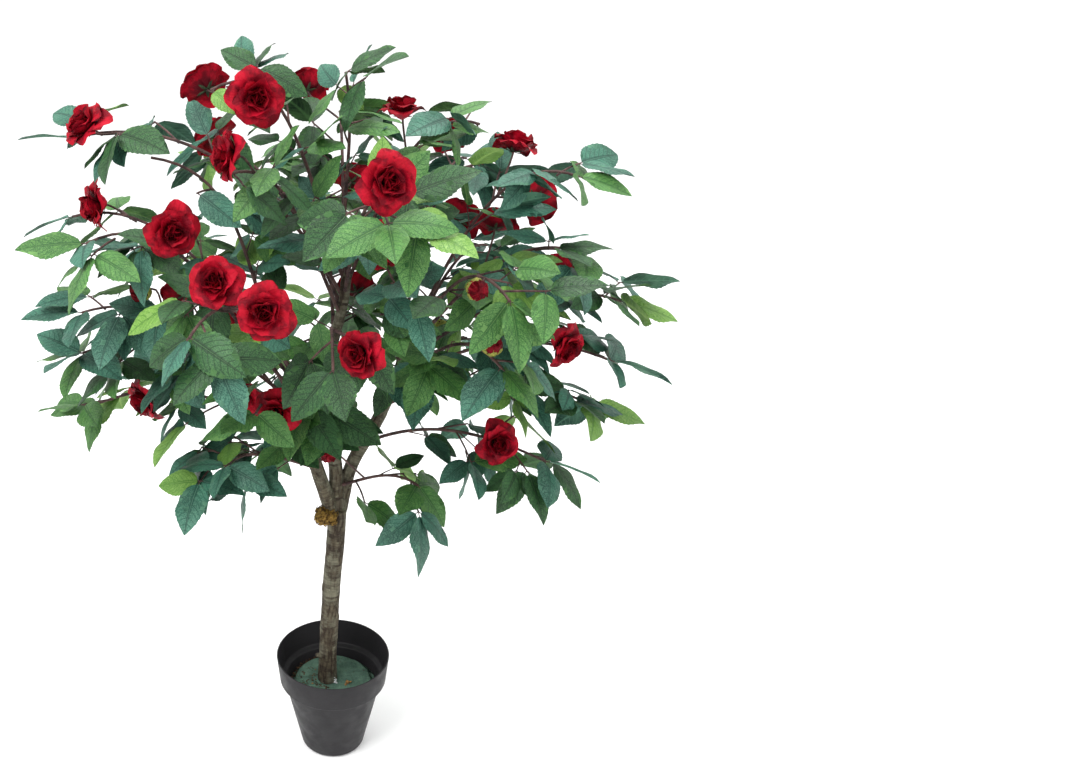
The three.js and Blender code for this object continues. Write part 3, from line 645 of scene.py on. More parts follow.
class Spray:
    """One mass of foliage: its stem, twigs, leaves and flowers."""

    def __init__(self, number: int, plan: SprayPlan, boughs: dict[str, Limb]) -> None:
        """Lays out the stem and the flowers.

        Args:
            number: the spray's place in the table, which seeds its growth.
            plan: its row of the table.
            boughs: the limbs by name.
        """
        self.number = number
        self.plan = plan
        foot = boughs[plan.bough].curve.point(plan.at)
        tip = np.array(plan.tip, float)
        span = float(np.linalg.norm(tip - foot))
        level = tip - foot
        level[2] = 0.0
        self.out = unit(level)
        leaving = blend((self.out, 1), (UP, plan.rise))
        ending = blend((self.out, 1), (UP, plan.fall))
        self.arch = bezier([
            foot, foot + leaving * STEM.leaving * span, tip - ending * STEM.ending * span, tip,
        ])
        line = BrokenLine([self.arch.point(i / STEM.steps) for i in range(STEM.steps + 1)])
        self.stem = Shoot(line, cross(UP, self.out))
        self.flowers = [self.flower(row, BLOOM) for row in plan.blooms]
        self.flowers += [self.flower(row, BUD) for row in plan.buds]
        self.heart = line.point(STEM.heart_at)
        self.twigs: list[Shoot] = []
        self.shoots: list[Shoot] = []
        self.leaves: list[Blade] = []
        self.bead_points, self.bead_radii = bead_row(line, STEM.radii[0], STEM.beads)
        for flower in self.flowers:
            self.add_beads(flower.line, flower.sizes.twig_radius, flower.sizes.twig_beads)

    def flower(self, row: Quint, sizes: FlowerSizes) -> Flower:
        """Makes a flower and the twig that carries it.

        Args:
            row: its place and the way that it faces.
            sizes: the space that it takes.

        Returns:
            The flower.
        """
        at = np.array(row[:3], float)
        facing = heading(*row[3:])
        shares = [i / 100 for i in range(20, 100, 5)]
        nearest = min(shares, key=lambda s: float(np.linalg.norm(self.stem.line.point(s) - at)))
        foot = self.stem.line.point(max(STEM.flower_lowest, nearest - STEM.flower_before))
        end = at + facing * (1 - sizes.back * 0.5)
        return Flower(sizes, at, facing, BrokenLine([foot, end]))

    def add_beads(self, line: BrokenLine, radius: float, count: int) -> None:
        """Adds a line to what foliage keeps clear of."""
        points, radii = bead_row(line, radius, count)
        self.bead_points += points
        self.bead_radii += radii


@dataclass(frozen=True)
class Clearances:
    """How far foliage keeps from the rest, in millimetres, and how many leans are tried."""

    limb: float = 4.0
    stem: float = 3.0
    blade: float = 5.0
    mate: float = 0.6
    own: float = 1.5
    twig: float = 3.0
    flower: float = 2.0
    petal: float = 3.0
    neck_reach: float = 14.0
    space: float = 1.0
    tries: int = 12
    leaf_size: float = 1.0


SOURCE_RULE = Clearances()
FINE_RULE = Clearances(
    limb=2.5, stem=1.2, blade=0.8, own=0.6, twig=1.0, flower=1.0, petal=1.5,
    neck_reach=16.0, space=-16.0, tries=8, leaf_size=0.82,
)
TWIG_TRIES = 8


@dataclass(frozen=True)
class FineGrowth:
    """How many fine twigs and single leaves stems and twigs carry, how long the fine twigs are, and
    the place before the fork that they leave open."""

    stem_twigs: int = 2
    stem_reach: Pair = (24.0, 48.0)
    stem_part: Pair = (0.12, 0.66)
    twig_shares: tuple[float, ...] = (0.62,)
    twig_reach: Pair = (16.0, 30.0)
    sides: int = 5
    leaf_shares: tuple[float, ...] = (0.3,)
    end_reach: Pair = (5.0, 12.0)
    bare_end: float = 24.0
    open_at: Triple = (-5.0, -75.0, 508.0)
    open_radius: float = 88.0
    open_core: float = 46.0
    stem_leaves: int = 3
    stem_leaf_part: Pair = (0.22, 0.9)
    end_share: float = 0.985
    stalk_reach: Pair = (5.0, 10.0)
    stalk_up: Pair = (-0.2, 0.5)
    stalk_turn: float = 0.4
    onward: Pair = (0.5, 0.9)
    up: Pair = (-0.25, 0.3)
    aside: float = 0.8


FINE = FineGrowth()


def off_fork(blade: Blade) -> float:
    """How far a blade's middle is from the open place before the fork."""
    return float(np.linalg.norm(blade.spots()[4] - FINE.open_at))


class Crown:
    """All sprays, grown together so that each keeps to its own space."""

    def __init__(self, boughs: dict[str, Limb], trunk: Limb) -> None:
        """Lays out every stem and flower.

        Args:
            boughs: the limbs that carry sprays, by name.
            trunk: the trunk.
        """
        self.sprays = [Spray(n, plan, boughs) for n, plan in enumerate(SPRAYS)]
        points: list[Array] = []
        radii: list[float] = []
        for limb in (trunk, *boughs.values()):
            more_points, more_radii = limb.beads()
            points += more_points
            radii += more_radii
        for moss in MOSS.values():
            points.append(np.array(moss.at, float))
            radii.append(max(moss.size) * MOSS_BULGE)
        self.limb_points = np.array(points)
        self.limb_radii = np.array(radii)
        self.flowers = [f for spray in self.sprays for f in spray.flowers]
        self.flower_at = np.array([f.at for f in self.flowers])
        self.flower_facing = np.array([f.facing for f in self.flowers])
        self.flower_sizes = np.array([(f.sizes.back, f.sizes.dome, f.sizes.radius) for f in self.flowers])
        self.flower_spots = np.concatenate([f.spots() for f in self.flowers])
        hearts = np.array([s.heart for s in self.sprays])
        self.walls = []
        for n, heart in enumerate(hearts):
            others = np.delete(hearts, n, axis=0)
            toward = others - heart
            toward /= np.linalg.norm(toward, axis=1)[:, None]
            self.walls.append((toward, np.sum(toward * (others + heart) / 2, axis=1)))
        self.reach = (np.array(CAD_BOX[0]) / MM + 2, np.array(CAD_BOX[1]) / MM - 2)
        self.rule = SOURCE_RULE
        self.others: dict[int, tuple[Array, Array]] = {}
        self.all_leaves: list[Blade] = []
        self.leaf_middles = np.empty((0, 3))

    def beads_of_others(self, spray: Spray) -> tuple[Array, Array]:
        """The beads of every other spray, kept until a twig is added."""
        if spray.number not in self.others:
            rest = [s for s in self.sprays if s is not spray]
            self.others[spray.number] = (
                np.concatenate([np.array(s.bead_points) for s in rest]),
                np.concatenate([np.array(s.bead_radii) for s in rest]),
            )
        return self.others[spray.number]

    def in_own_space(self, spray: Spray, points: Array) -> bool:
        """True where the points are nearer to the spray's heart than to any other's."""
        toward, middle = self.walls[spray.number]
        return bool((points @ toward.T - middle < -self.rule.space).all())

    def inside_flower(self, points: Array) -> bool:
        """True where a point is inside a bloom or a bud."""
        away = points[:, None] - self.flower_at[None]
        height = np.einsum("pfj,fj->pf", away, self.flower_facing)
        across = np.sqrt(np.maximum(0, np.sum(away * away, axis=2) - height * height))
        back, dome, radius = self.flower_sizes.T
        gap = self.rule.flower
        return bool(((height > -back - gap) & (height < dome + gap) & (across < radius + gap)).any())

    def twig_is_free(self, spray: Spray, points: Array) -> bool:
        """True where a twig through the points keeps clear of all else."""
        far = points[1:]
        if not self.in_own_space(spray, far) or self.inside_flower(far):
            return False
        bead_points, bead_radii = self.beads_of_others(spray)
        for at, radii in ((self.limb_points, self.limb_radii), (bead_points, bead_radii)):
            apart = np.linalg.norm(far[:, None] - at[None], axis=2)
            if (apart < radii + self.rule.twig).any():
                return False
        return True

    def blade_is_free(self, spray: Spray, blade: Blade) -> bool:
        """True where a leaf keeps to its spray's space and clear of all else."""
        rule = self.rule
        spots = blade.spots()
        low, high = self.reach
        if (spots[:, 2] <= LOWEST_LEAF).any() or not self.in_own_space(spray, spots):
            return False
        near = spray.leaves
        if rule is not SOURCE_RULE:
            if ((spots < low) | (spots > high)).any():
                return False
            apart = np.linalg.norm(self.leaf_middles - spots[4], axis=1)
            near = [self.all_leaves[i] for i in np.flatnonzero(apart < LEAF.length * 1.1)]
        if blades_touch(blade, near, rule.blade):
            return False
        if touching([blade], self.limb_points, self.limb_radii + rule.limb).any():
            return False
        own_points = np.array(spray.bead_points)
        far = np.linalg.norm(own_points - blade.base, axis=1) > rule.neck_reach
        own_radii = np.array(spray.bead_radii)
        if touching([blade], own_points[far], own_radii[far] + rule.own).any():
            return False
        bead_points, bead_radii = self.beads_of_others(spray)
        if touching([blade], bead_points, bead_radii + rule.stem).any():
            return False
        if self.inside_flower(spots):
            return False
        return not touching([blade], self.flower_spots, rule.petal).any()

    def grow_leaf(self, spray: Spray, base: Array, onward: Array, across: Array, turn: float,
            random: RandomStream, mates: Sequence[Blade]) -> Blade | None:
        """Tries a few leans for one leaf and keeps the first that is free.

        Args:
            spray: the spray that it grows on.
            base: where it starts.
            onward: the way of its twig.
            across: the twig's sideways direction.
            turn: 0 for a leaf that runs on, 1 or -1 for one on a side.
            random: the stream that its leans are drawn from.
            mates: the leaves of its own cluster.

        Returns:
            The leaf, or None where there is no room.
        """
        for _ in range(self.rule.tries):
            if turn:
                degrees = turn * random.between(*LEAF.side_angles)
            else:
                degrees = LEAF.end_angle * (random.next() - 0.5)
            angle = math.radians(degrees)
            along = blend((onward, math.cos(angle)), (across, math.sin(angle)),
                (UP, random.between(*LEAF.tilts)))
            facing = blend((UP, LEAF.facing_up), (spray.out, LEAF.facing_out),
                           (across, LEAF.facing_stray * (random.next() - 0.5)),
                           (onward, LEAF.facing_stray * (random.next() - 0.5)))
            length = LEAF.length * (1 + LEAF.length_spread * (2 * random.next() - 1)) * self.rule.leaf_size
            blade = Blade.facing(base, along, facing, length)
            roll = -turn * float(blade.across @ onward) if turn else float(blade.across @ across)
            if roll < LEAF.level or blades_touch(blade, mates, self.rule.mate):
                continue
            if self.blade_is_free(spray, blade):
                return blade
        return None

    def grow_cluster(self, spray: Spray, line: BrokenLine, across: Array, seed: int) -> list[Blade]:
        """The leaves at the end of a shoot: one that runs on and one on either side.

        Args:
            spray: the spray that they grow on.
            line: the shoot.
            across: its sideways direction.
            seed: the seed of their leans.

        Returns:
            Up to three leaves.
        """
        random = RandomStream(seed)
        onward = line.tangent(1.0)
        end = line.point(1.0)
        neck = end - onward * LEAF.neck / 2
        cluster: list[Blade] = []
        for turn in (0, 1, -1):
            leaf = self.grow_leaf(spray, neck if turn else end, onward, across, turn, random, cluster)
            if leaf:
                cluster.append(leaf)
        return cluster

    def grow_twig(self, spray: Spray, number: int) -> None:
        """Grows one side twig, by turns on either side, with the lean that has room for most leaves.

        Args:
            spray: the spray that it grows on.
            number: its place along the stem.
        """
        seed = SEEDS.spray * (spray.number + 1) + SEEDS.twig * (number + 1)
        random = RandomStream(seed)
        stem = spray.stem
        place = lerp(*STEM.twig_between, number / (spray.plan.twigs - 1))
        share = place + STEM.twig_shift * (random.next() - 0.5)
        foot = stem.line.point(share)
        onward = stem.line.tangent(share)
        lift = cross(onward, stem.across)
        shortest, spread = STEM.twig_spread
        full = STEM.twig_length * lerp(*STEM.twig_shorter, share) * (shortest + spread * random.next())
        (aside, more_aside), (lift_spread, lift_below) = STEM.twig_aside, STEM.twig_lift
        best: Shoot | None = None
        for attempt in range(TWIG_TRIES):
            hand = 1 if (number + (attempt >> 2)) % 2 else -1
            aim = blend((onward, STEM.twig_onward),
                        (stem.across, hand * (aside + more_aside * random.next())),
                        (lift, lift_spread * (random.next() - lift_below)))
            length = full * (1 - STEM.twig_step * attempt)
            line = BrokenLine([foot, foot + aim * length - UP * STEM.twig_sag * length])
            if not self.twig_is_free(spray, line.points((0, 0.25, 0.5, 0.75, 1))):
                continue
            across = unit(cross(UP, line.tangent(1.0)))
            blades = self.grow_cluster(spray, line, across, seed + SEEDS.attempt * (attempt + 1))
            if len(blades) > (len(best.blades) if best else 0):
                best = Shoot(line, across, blades)
            if len(blades) == 3:
                break
        if best:
            spray.twigs.append(best)
            spray.leaves += best.blades
            spray.add_beads(best.line, STEM.twig_radii[0], STEM.twig_beads)
            self.others.clear()

    def grow(self) -> None:
        """Grows every cluster and twig as the solids have them."""
        for spray in self.sprays:
            stem = spray.stem
            stem.blades = self.grow_cluster(spray, stem.line, stem.across, SEEDS.stem * (spray.number + 1))
            spray.leaves += stem.blades
        for spray in self.sprays:
            for number in reversed(range(spray.plan.twigs)):
                self.grow_twig(spray, number)

    def keep(self, spray: Spray, shoot: Shoot) -> None:
        """Adds a fine shoot and those of its leaves that don't hide the fork."""
        shoot.blades = [blade for blade in shoot.blades if off_fork(blade) > FINE.open_radius]
        if not shoot.blades:
            return
        spray.shoots.append(shoot)
        spray.leaves += shoot.blades
        self.all_leaves += shoot.blades
        self.leaf_middles = np.vstack([self.leaf_middles, *(b.spots()[4] for b in shoot.blades)])

    def grow_finer(self) -> None:
        """Carries the rule on to finer twigs and single leaves, within the same reach."""
        self.rule = FINE_RULE
        for spray in self.sprays:
            for shoot in (spray.stem, *spray.twigs):
                shoot.blades = [blade for blade in shoot.blades if off_fork(blade) > FINE.open_core]
            spray.leaves = [blade for blade in spray.leaves if off_fork(blade) > FINE.open_core]
        self.all_leaves = [blade for spray in self.sprays for blade in spray.leaves]
        self.leaf_middles = np.array([blade.spots()[4] for blade in self.all_leaves])
        for spray in self.sprays:
            random = RandomStream(SEEDS.fine * (spray.number + 1))
            for n in range(FINE.stem_twigs):
                share = lerp(*FINE.stem_part, (n + 0.5) / FINE.stem_twigs)
                self.fine_twig(spray, spray.stem, share, FINE.stem_reach, random)
            for twig in spray.twigs:
                for share in FINE.twig_shares if spray.twigs.index(twig) % 2 else ():
                    self.fine_twig(spray, twig, share, FINE.twig_reach, random)
            end = spray.stem.line.point(1.0)
            if all(np.linalg.norm(blade.base - end) > FINE.bare_end for blade in spray.leaves):
                self.fine_twig(spray, spray.stem, FINE.end_share, FINE.end_reach, random)
            for shoot in tuple(spray.twigs):
                for n, share in enumerate(FINE.leaf_shares):
                    self.side_leaf(spray, shoot, share, 1 if n % 2 else -1, random)
            for n in range(FINE.stem_leaves):
                share = lerp(*FINE.stem_leaf_part, (n + 0.5) / FINE.stem_leaves)
                self.side_leaf(spray, spray.stem, share, 1 if n % 2 else -1, random)

    def fine_twig(self, spray: Spray, parent: Shoot, share: float, reach: Pair,
            random: RandomStream) -> None:
        """Grows a fine twig with its cluster, on the side of the parent that has room for most leaves.

        Args:
            spray: the spray that it grows on.
            parent: the twig or stem that it leaves.
            share: how far along the parent.
            reach: its shortest and longest length.
            random: the stream that it is drawn from.
        """
        foot = parent.line.point(share)
        onward = parent.line.tangent(share)
        second = cross(onward, parent.across)
        start = random.between(0, 2 * math.pi)
        best: Shoot | None = None
        for attempt in range(FINE.sides):
            angle = start + 2 * math.pi * attempt / FINE.sides
            away = parent.across * math.cos(angle) + second * math.sin(angle)
            aim = blend((onward, random.between(*FINE.onward)), (away, FINE.aside),
                        (UP, random.between(*FINE.up)))
            line = BrokenLine([foot, foot + aim * random.between(*reach)])
            if not self.twig_is_free(spray, line.points((0, 0.5, 1))):
                continue
            across = unit(cross(UP, aim) + np.array([0.0, 1e-3, 0.0]))
            blades = self.grow_cluster(spray, line, across, int(random.next() * 1e9))
            if len(blades) > (len(best.blades) if best else 0):
                best = Shoot(line, across, blades)
            if len(blades) == 3:
                break
        if best:
            self.keep(spray, best)

    def side_leaf(self, spray: Spray, parent: Shoot, share: float, hand: int, random: RandomStream) -> None:
        """Grows one leaf on a short stalk, on the given side or else on the other.

        Args:
            spray: the spray that it grows on.
            parent: the twig or stem that it leaves.
            share: how far along the parent.
            hand: the side, 1 or -1.
            random: the stream that it is drawn from.
        """
        foot = parent.line.point(share)
        onward = parent.line.tangent(share)
        for side in (hand, -hand):
            aim = blend((onward, FINE.aside), (parent.across, side * FINE.aside),
                        (UP, random.between(*FINE.stalk_up)))
            line = BrokenLine([foot, foot + aim * random.between(*FINE.stalk_reach)])
            turn = side * FINE.stalk_turn
            leaf = self.grow_leaf(spray, line.point(1.0), aim, parent.across, turn, random, ())
            if leaf:
                self.keep(spray, Shoot(line, parent.across, [leaf]))
                return


# ---------------------------------------------------------------- meshes


def new_object(name: str, mesh: Mesh) -> Object:
    """Puts a mesh in the scene under a name."""
    thing = bpy.data.objects.new(name, mesh)
    bpy.context.scene.collection.objects.link(thing)
    return thing


def mesh_from(name: str, points: Array, faces: Iterable[Sequence[int]], smooth: bool = True) -> Mesh:
    """Makes a mesh from points in metres and its faces.

    Args:
        name: the mesh's name.
        points: the points, one a row.
        faces: the corners of every face, counterclockwise from outside.
        smooth: whether the faces are shaded smooth.

    Returns:
        The mesh.
    """
    mesh = bpy.data.meshes.new(name)
    mesh.from_pydata(np.asarray(points).tolist(), [], [tuple(face) for face in faces])
    mesh.update()
    if smooth:
        mesh.shade_smooth()
    return mesh


def sharpen(mesh: Mesh, degrees: float) -> None:
    """Keeps the edges crisp that bend by more than an angle."""
    mesh.set_sharp_from_angle(angle=math.radians(degrees))


def ring_faces(rings: int, sides: int) -> list[tuple[int, ...]]:
    """Faces of a closed tube of rings, with a cap on either end.

    Args:
        rings: how many rings.
        sides: how many points a ring has.

    Returns:
        The faces.
    """
    faces: list[tuple[int, ...]] = []
    for i in range(rings - 1):
        for k in range(sides):
            a, b = i * sides + k, i * sides + (k + 1) % sides
            faces.append((a, b, b + sides, a + sides))
    faces.append(tuple(reversed(range(sides))))
    faces.append(tuple((rings - 1) * sides + k for k in range(sides)))
    return faces


def lathe(name: str, profile: Sequence[Pair], sides: int) -> Mesh:
    """Turns a profile round the Z axis. It starts and ends on the axis.

    Args:
        name: the mesh's name.
        profile: radius and height in millimetres, from the axis and back to it, outside first.
        sides: how many sides.

    Returns:
        The mesh.
    """
    rings = profile[1:-1]
    points = [(0.0, 0.0, profile[0][1])]
    for radius, height in rings:
        points += [(radius * math.cos(a), radius * math.sin(a), height) for a in turns(sides)]
    points.append((0.0, 0.0, profile[-1][1]))
    last = len(points) - 1
    faces: list[tuple[int, ...]] = []
    for k in range(sides):
        n = (k + 1) % sides
        faces.append((0, 1 + n, 1 + k))
        for i in range(len(rings) - 1):
            a, b = 1 + i * sides + k, 1 + i * sides + n
            faces.append((a, b, b + sides, a + sides))
        faces.append((last - sides + k, last - sides + n, last))
    return mesh_from(name, np.array(points) * MM, faces)


def rounded(profile: Sequence[tuple[float, float, float]], steps: int = 4) -> list[Pair]:
    """Rounds the corners of a profile.

    Args:
        profile: radius, height and the corner's rounding, in millimetres.
        steps: how many runs a rounded corner has.

    Returns:
        The profile with its corners rounded.
    """
    out: list[Pair] = []
    for i, (r, z, bend) in enumerate(profile):
        if bend <= 0 or i in (0, len(profile) - 1):
            out.append((r, z))
            continue
        corner = np.array([r, z])
        before = np.array(profile[i - 1][:2]) - corner
        after = np.array(profile[i + 1][:2]) - corner
        start = corner + before / np.linalg.norm(before) * bend
        end = corner + after / np.linalg.norm(after) * bend
        for k in range(steps + 1):
            t = k / steps
            p = (1 - t) ** 2 * start + 2 * t * (1 - t) * corner + t * t * end
            out.append((float(p[0]), float(p[1])))
    return out


def closed_sheet(name: str, grid: Array, thickness: float) -> Mesh:
    """Makes a thin closed sheet from a grid of points: its two sides share their rim.

    Args:
        name: the mesh's name.
        grid: the upper side's points, rows along the sheet and columns across it.
        thickness: how thick it is away from the rim.

    Returns:
        The mesh, with a map named Sheet and a mark on its under side.
    """
    rows, columns = grid.shape[:2]
    along = np.gradient(grid, axis=0)
    across = np.gradient(grid, axis=1)
    normals = np.cross(along, across)
    normals /= np.maximum(np.linalg.norm(normals, axis=2), 1e-9)[..., None]
    points = grid.reshape(-1, 3).tolist()
    under = np.arange(rows * columns).reshape(rows, columns)
    for i in range(1, rows - 1):
        for j in range(1, columns - 1):
            under[i, j] = len(points)
            points.append((grid[i, j] - normals[i, j] * thickness).tolist())
    faces: list[tuple[int, ...]] = []
    marks: list[bool] = []
    for i in range(rows - 1):
        for j in range(columns - 1):
            a, b = i * columns + j, i * columns + j + 1
            faces.append((a, a + columns, b + columns, b))
            faces.append((under[i, j], under[i, j + 1], under[i + 1, j + 1], under[i + 1, j]))
            marks += [False, True]
    where = {index: (j / (columns - 1), i / (rows - 1))
             for table in (np.arange(rows * columns).reshape(rows, columns), under)
             for (i, j), index in np.ndenumerate(table)}
    mesh = mesh_from(name, np.array(points), faces)
    mark_sheet(mesh, marks, [where[i] for i in range(len(points))])
    return mesh


def mark_sheet(mesh: Mesh, marks: Sequence[bool], places: Sequence[Pair]) -> None:
    """Writes a sheet's map, the mark on its under side and its sharp rim.

    Args:
        mesh: the sheet.
        marks: for every face, whether it is on the under side.
        places: every point's place across and along the sheet.
    """
    mesh.attributes.new("under", "BOOLEAN", "FACE").data.foreach_set("value", list(marks))
    layer = mesh.uv_layers.new(name="Sheet")
    for loop in mesh.loops:
        layer.uv[loop.index].vector = places[loop.vertex_index]
    sides: dict[tuple[int, int], set[bool]] = {}
    for polygon in mesh.polygons:
        for key in polygon.edge_keys:
            sides.setdefault(key, set()).add(marks[polygon.index])
    sharp = mesh.attributes.new("sharp_edge", "BOOLEAN", "EDGE")
    sharp.data.foreach_set("value", [len(sides[edge.key]) == 2 for edge in mesh.edges])


# ---------------------------------------------------------------- node trees


def add_node(tree: NodeTree, kind: str, settings: dict | None = None, **inputs: object) -> Node:
    """Adds a node, sets it up and joins its inputs.

    Args:
        tree: the node tree.
        kind: the node's type, without the ShaderNode or GeometryNode of its tree.
        settings: its own properties.
        inputs: a value, a socket or a node's first output for every named input, with _ for a space;
            in0 is the first.

    Returns:
        The node.
    """
    node = tree.nodes.new(kind if "Node" in kind else tree.bl_idname.removesuffix("Tree") + kind)
    for key, value in (settings or {}).items():
        setattr(node, key, value)
    for key, value in inputs.items():
        place: int | str = int(key[2:]) if key[:2] == "in" and key[2:].isdigit() else key.replace("_", " ")
        socket = node.inputs[place]
        if isinstance(value, Node):
            value = value.outputs[0]
        if isinstance(value, Socket):
            tree.links.new(value, socket)
        else:
            socket.default_value = value
    return node


def math_node(tree: NodeTree, operation: str, *values: Socket | float) -> Socket:
    """Adds a math node and returns its output."""
    inputs = {f"in{i}": value for i, value in enumerate(values)}
    return add_node(tree, "Math", {"operation": operation}, **inputs).outputs[0]


def fit(tree: NodeTree, value: Socket | Node, low: Socket | float, high: Socket | float,
        first: float = 0.0, last: float = 1.0, **settings: str) -> Socket:
    """Moves a value from one range to another.

    Args:
        tree: the shader tree.
        value: the value.
        low: the start of its range.
        high: the end of its range.
        first: what the start becomes.
        last: what the end becomes.
        settings: the node's own properties.

    Returns:
        The moved value.
    """
    return add_node(tree, "MapRange", settings, Value=value, From_Min=low, From_Max=high,
                    To_Min=first, To_Max=last).outputs[0]


def geometry_tree(name: str, sockets: Sequence[tuple[str, str]]) -> tuple[NodeTree, Socket, Node]:
    """Starts a geometry node tree.

    Args:
        name: its name.
        sockets: the name and type of every input besides Geometry.

    Returns:
        The tree, its Geometry input and its input node.
    """
    tree = bpy.data.node_groups.new(name, "GeometryNodeTree")
    tree.interface.new_socket("Geometry", in_out="INPUT", socket_type="NodeSocketGeometry")
    for label, kind in sockets:
        tree.interface.new_socket(label, in_out="INPUT", socket_type=kind)
    tree.interface.new_socket("Geometry", in_out="OUTPUT", socket_type="NodeSocketGeometry")
    entry = tree.nodes.new("NodeGroupInput")
    return tree, entry.outputs["Geometry"], entry


def finish_tree(tree: NodeTree, geometry: Socket) -> None:
    """Joins the last geometry to the tree's output."""
    out = tree.nodes.new("NodeGroupOutput")
    tree.links.new(geometry, out.inputs["Geometry"])


def named(tree: NodeTree, name: str, kind: str) -> Socket:
    """Reads a named attribute."""
    node = add_node(tree, "InputNamedAttribute", {"data_type": kind}, Name=name)
    return node.outputs["Attribute"]


def run_tree(source: Object, tree: NodeTree, name: str, **inputs: object) -> Object:
    """Runs a geometry tree on an object and keeps the result as a plain mesh.

    Args:
        source: the object, which is removed afterwards.
        tree: the tree.
        name: the name of the result.
        inputs: a value for every named input, with _ for a space.

    Returns:
        The new object.
    """
    modifier = source.modifiers.new("Grow", "NODES")
    modifier.node_group = tree
    names = {item.name: item.identifier for item in tree.interface.items_tree if item.in_out == "INPUT"}
    for key, value in inputs.items():
        modifier[names[key.replace("_", " ")]] = value
    source.update_tag()
    ready = source.evaluated_get(bpy.context.evaluated_depsgraph_get())
    mesh = bpy.data.meshes.new_from_object(ready)
    mesh.name = name
    source.modifiers.remove(modifier)
    bpy.data.objects.remove(source)
    return new_object(name, mesh)


def twig_tree() -> NodeTree:
    """A tree that turns chains of edges into round twigs, as thick as their girth says."""
    tree, geometry, entry = geometry_tree("Twigs", [("Sides", "NodeSocketInt"),
        ("Material", "NodeSocketMaterial")])
    curves = add_node(tree, "MeshToCurve", Mesh=geometry)
    girth = named(tree, "girth", "FLOAT")
    ring = add_node(tree, "CurvePrimitiveCircle", Resolution=entry.outputs["Sides"], Radius=1.0)
    sized = add_node(tree, "SetCurveRadius", Curve=curves, Radius=girth)
    tube = add_node(tree, "CurveToMesh", Curve=sized, Profile_Curve=ring, Fill_Caps=True)
    if "Scale" in tube.inputs:
        tree.links.new(add_node(tree, "InputRadius").outputs[0], tube.inputs["Scale"])
    smooth = add_node(tree, "SetShadeSmooth", Geometry=tube, Shade_Smooth=True)
    whole = add_node(tree, "RealizeInstances", Geometry=smooth)
    dressed = add_node(tree, "SetMaterial", Geometry=whole, Material=entry.outputs["Material"])
    finish_tree(tree, dressed.outputs[0])
    return tree


def scatter_tree() -> NodeTree:
    """A tree that puts a shape on every point, turned and sized as the point says."""
    tree, geometry, entry = geometry_tree("Scatter",
        [("Shapes", "NodeSocketCollection"), ("Upper", "NodeSocketMaterial"),
        ("Under", "NodeSocketMaterial")])
    shapes = add_node(tree, "CollectionInfo", Collection=entry.outputs["Shapes"],
        Separate_Children=True, Reset_Children=True)
    placed = add_node(tree, "InstanceOnPoints", Points=geometry, Instance=shapes,
        Pick_Instance=True, Instance_Index=named(tree, "shape", "INT"),
        Rotation=named(tree, "turn", "QUATERNION"), Scale=named(tree, "size", "FLOAT_VECTOR"))
    whole = add_node(tree, "RealizeInstances", Geometry=placed)
    upper = add_node(tree, "SetMaterial", Geometry=whole, Material=entry.outputs["Upper"])
    under = add_node(tree, "SetMaterial", Geometry=upper,
        Selection=named(tree, "under", "BOOLEAN"), Material=entry.outputs["Under"])
    finish_tree(tree, under.outputs[0])
    return tree


class Scatter:
    """Points that each get a turned and sized copy of one of a few shapes."""

    def __init__(self, name: str, shapes: Sequence[Mesh]) -> None:
        """Gathers the shapes.

        Args:
            name: the name of the finished piece.
            shapes: the meshes to choose from, which the index of a point names.
        """
        self.name = name
        self.folder = bpy.data.collections.new(f"{name}_shapes")
        for i, mesh in enumerate(shapes):
            self.folder.objects.link(bpy.data.objects.new(f"{name}_shape_{i:02d}", mesh))
        self.points: list[Array] = []
        self.turns: list[tuple[float, ...]] = []
        self.sizes: list[Triple] = []
        self.shapes: list[int] = []

    def put(self, at: Array, axes: Array, size: Triple | float, shape: int) -> None:
        """Adds one copy.

        Args:
            at: its place, in millimetres.
            axes: its X, Y and Z directions, one a row.
            size: its scale, or one for each axis.
            shape: the index of its shape.
        """
        self.points.append(at * MM)
        self.turns.append(tuple(Matrix(axes.T.tolist()).to_quaternion()))
        self.sizes.append(size if isinstance(size, tuple) else (size, size, size))
        self.shapes.append(shape)

    def build(self, tree: NodeTree, upper: Material, under: Material | None = None) -> Object:
        """Runs the scatter tree on the points.

        Args:
            tree: the scatter tree.
            upper: the material.
            under: the material of the sheets' under sides, where that differs.

        Returns:
            The finished piece.
        """
        mesh = bpy.data.meshes.new(self.name)
        mesh.from_pydata([tuple(p) for p in self.points], [], [])
        turn = mesh.attributes.new("turn", "QUATERNION", "POINT")
        turn.data.foreach_set("value", np.array(self.turns, np.float32).ravel())
        size = mesh.attributes.new("size", "FLOAT_VECTOR", "POINT")
        size.data.foreach_set("vector", np.array(self.sizes, np.float32).ravel())
        mesh.attributes.new("shape", "INT", "POINT").data.foreach_set("value", self.shapes)
        piece = run_tree(new_object(f"{self.name}_points", mesh), tree, self.name, Shapes=self.folder,
            Upper=upper, Under=under or upper)
        for thing in list(self.folder.objects):
            bpy.data.objects.remove(thing)
        bpy.data.collections.remove(self.folder)
        return piece


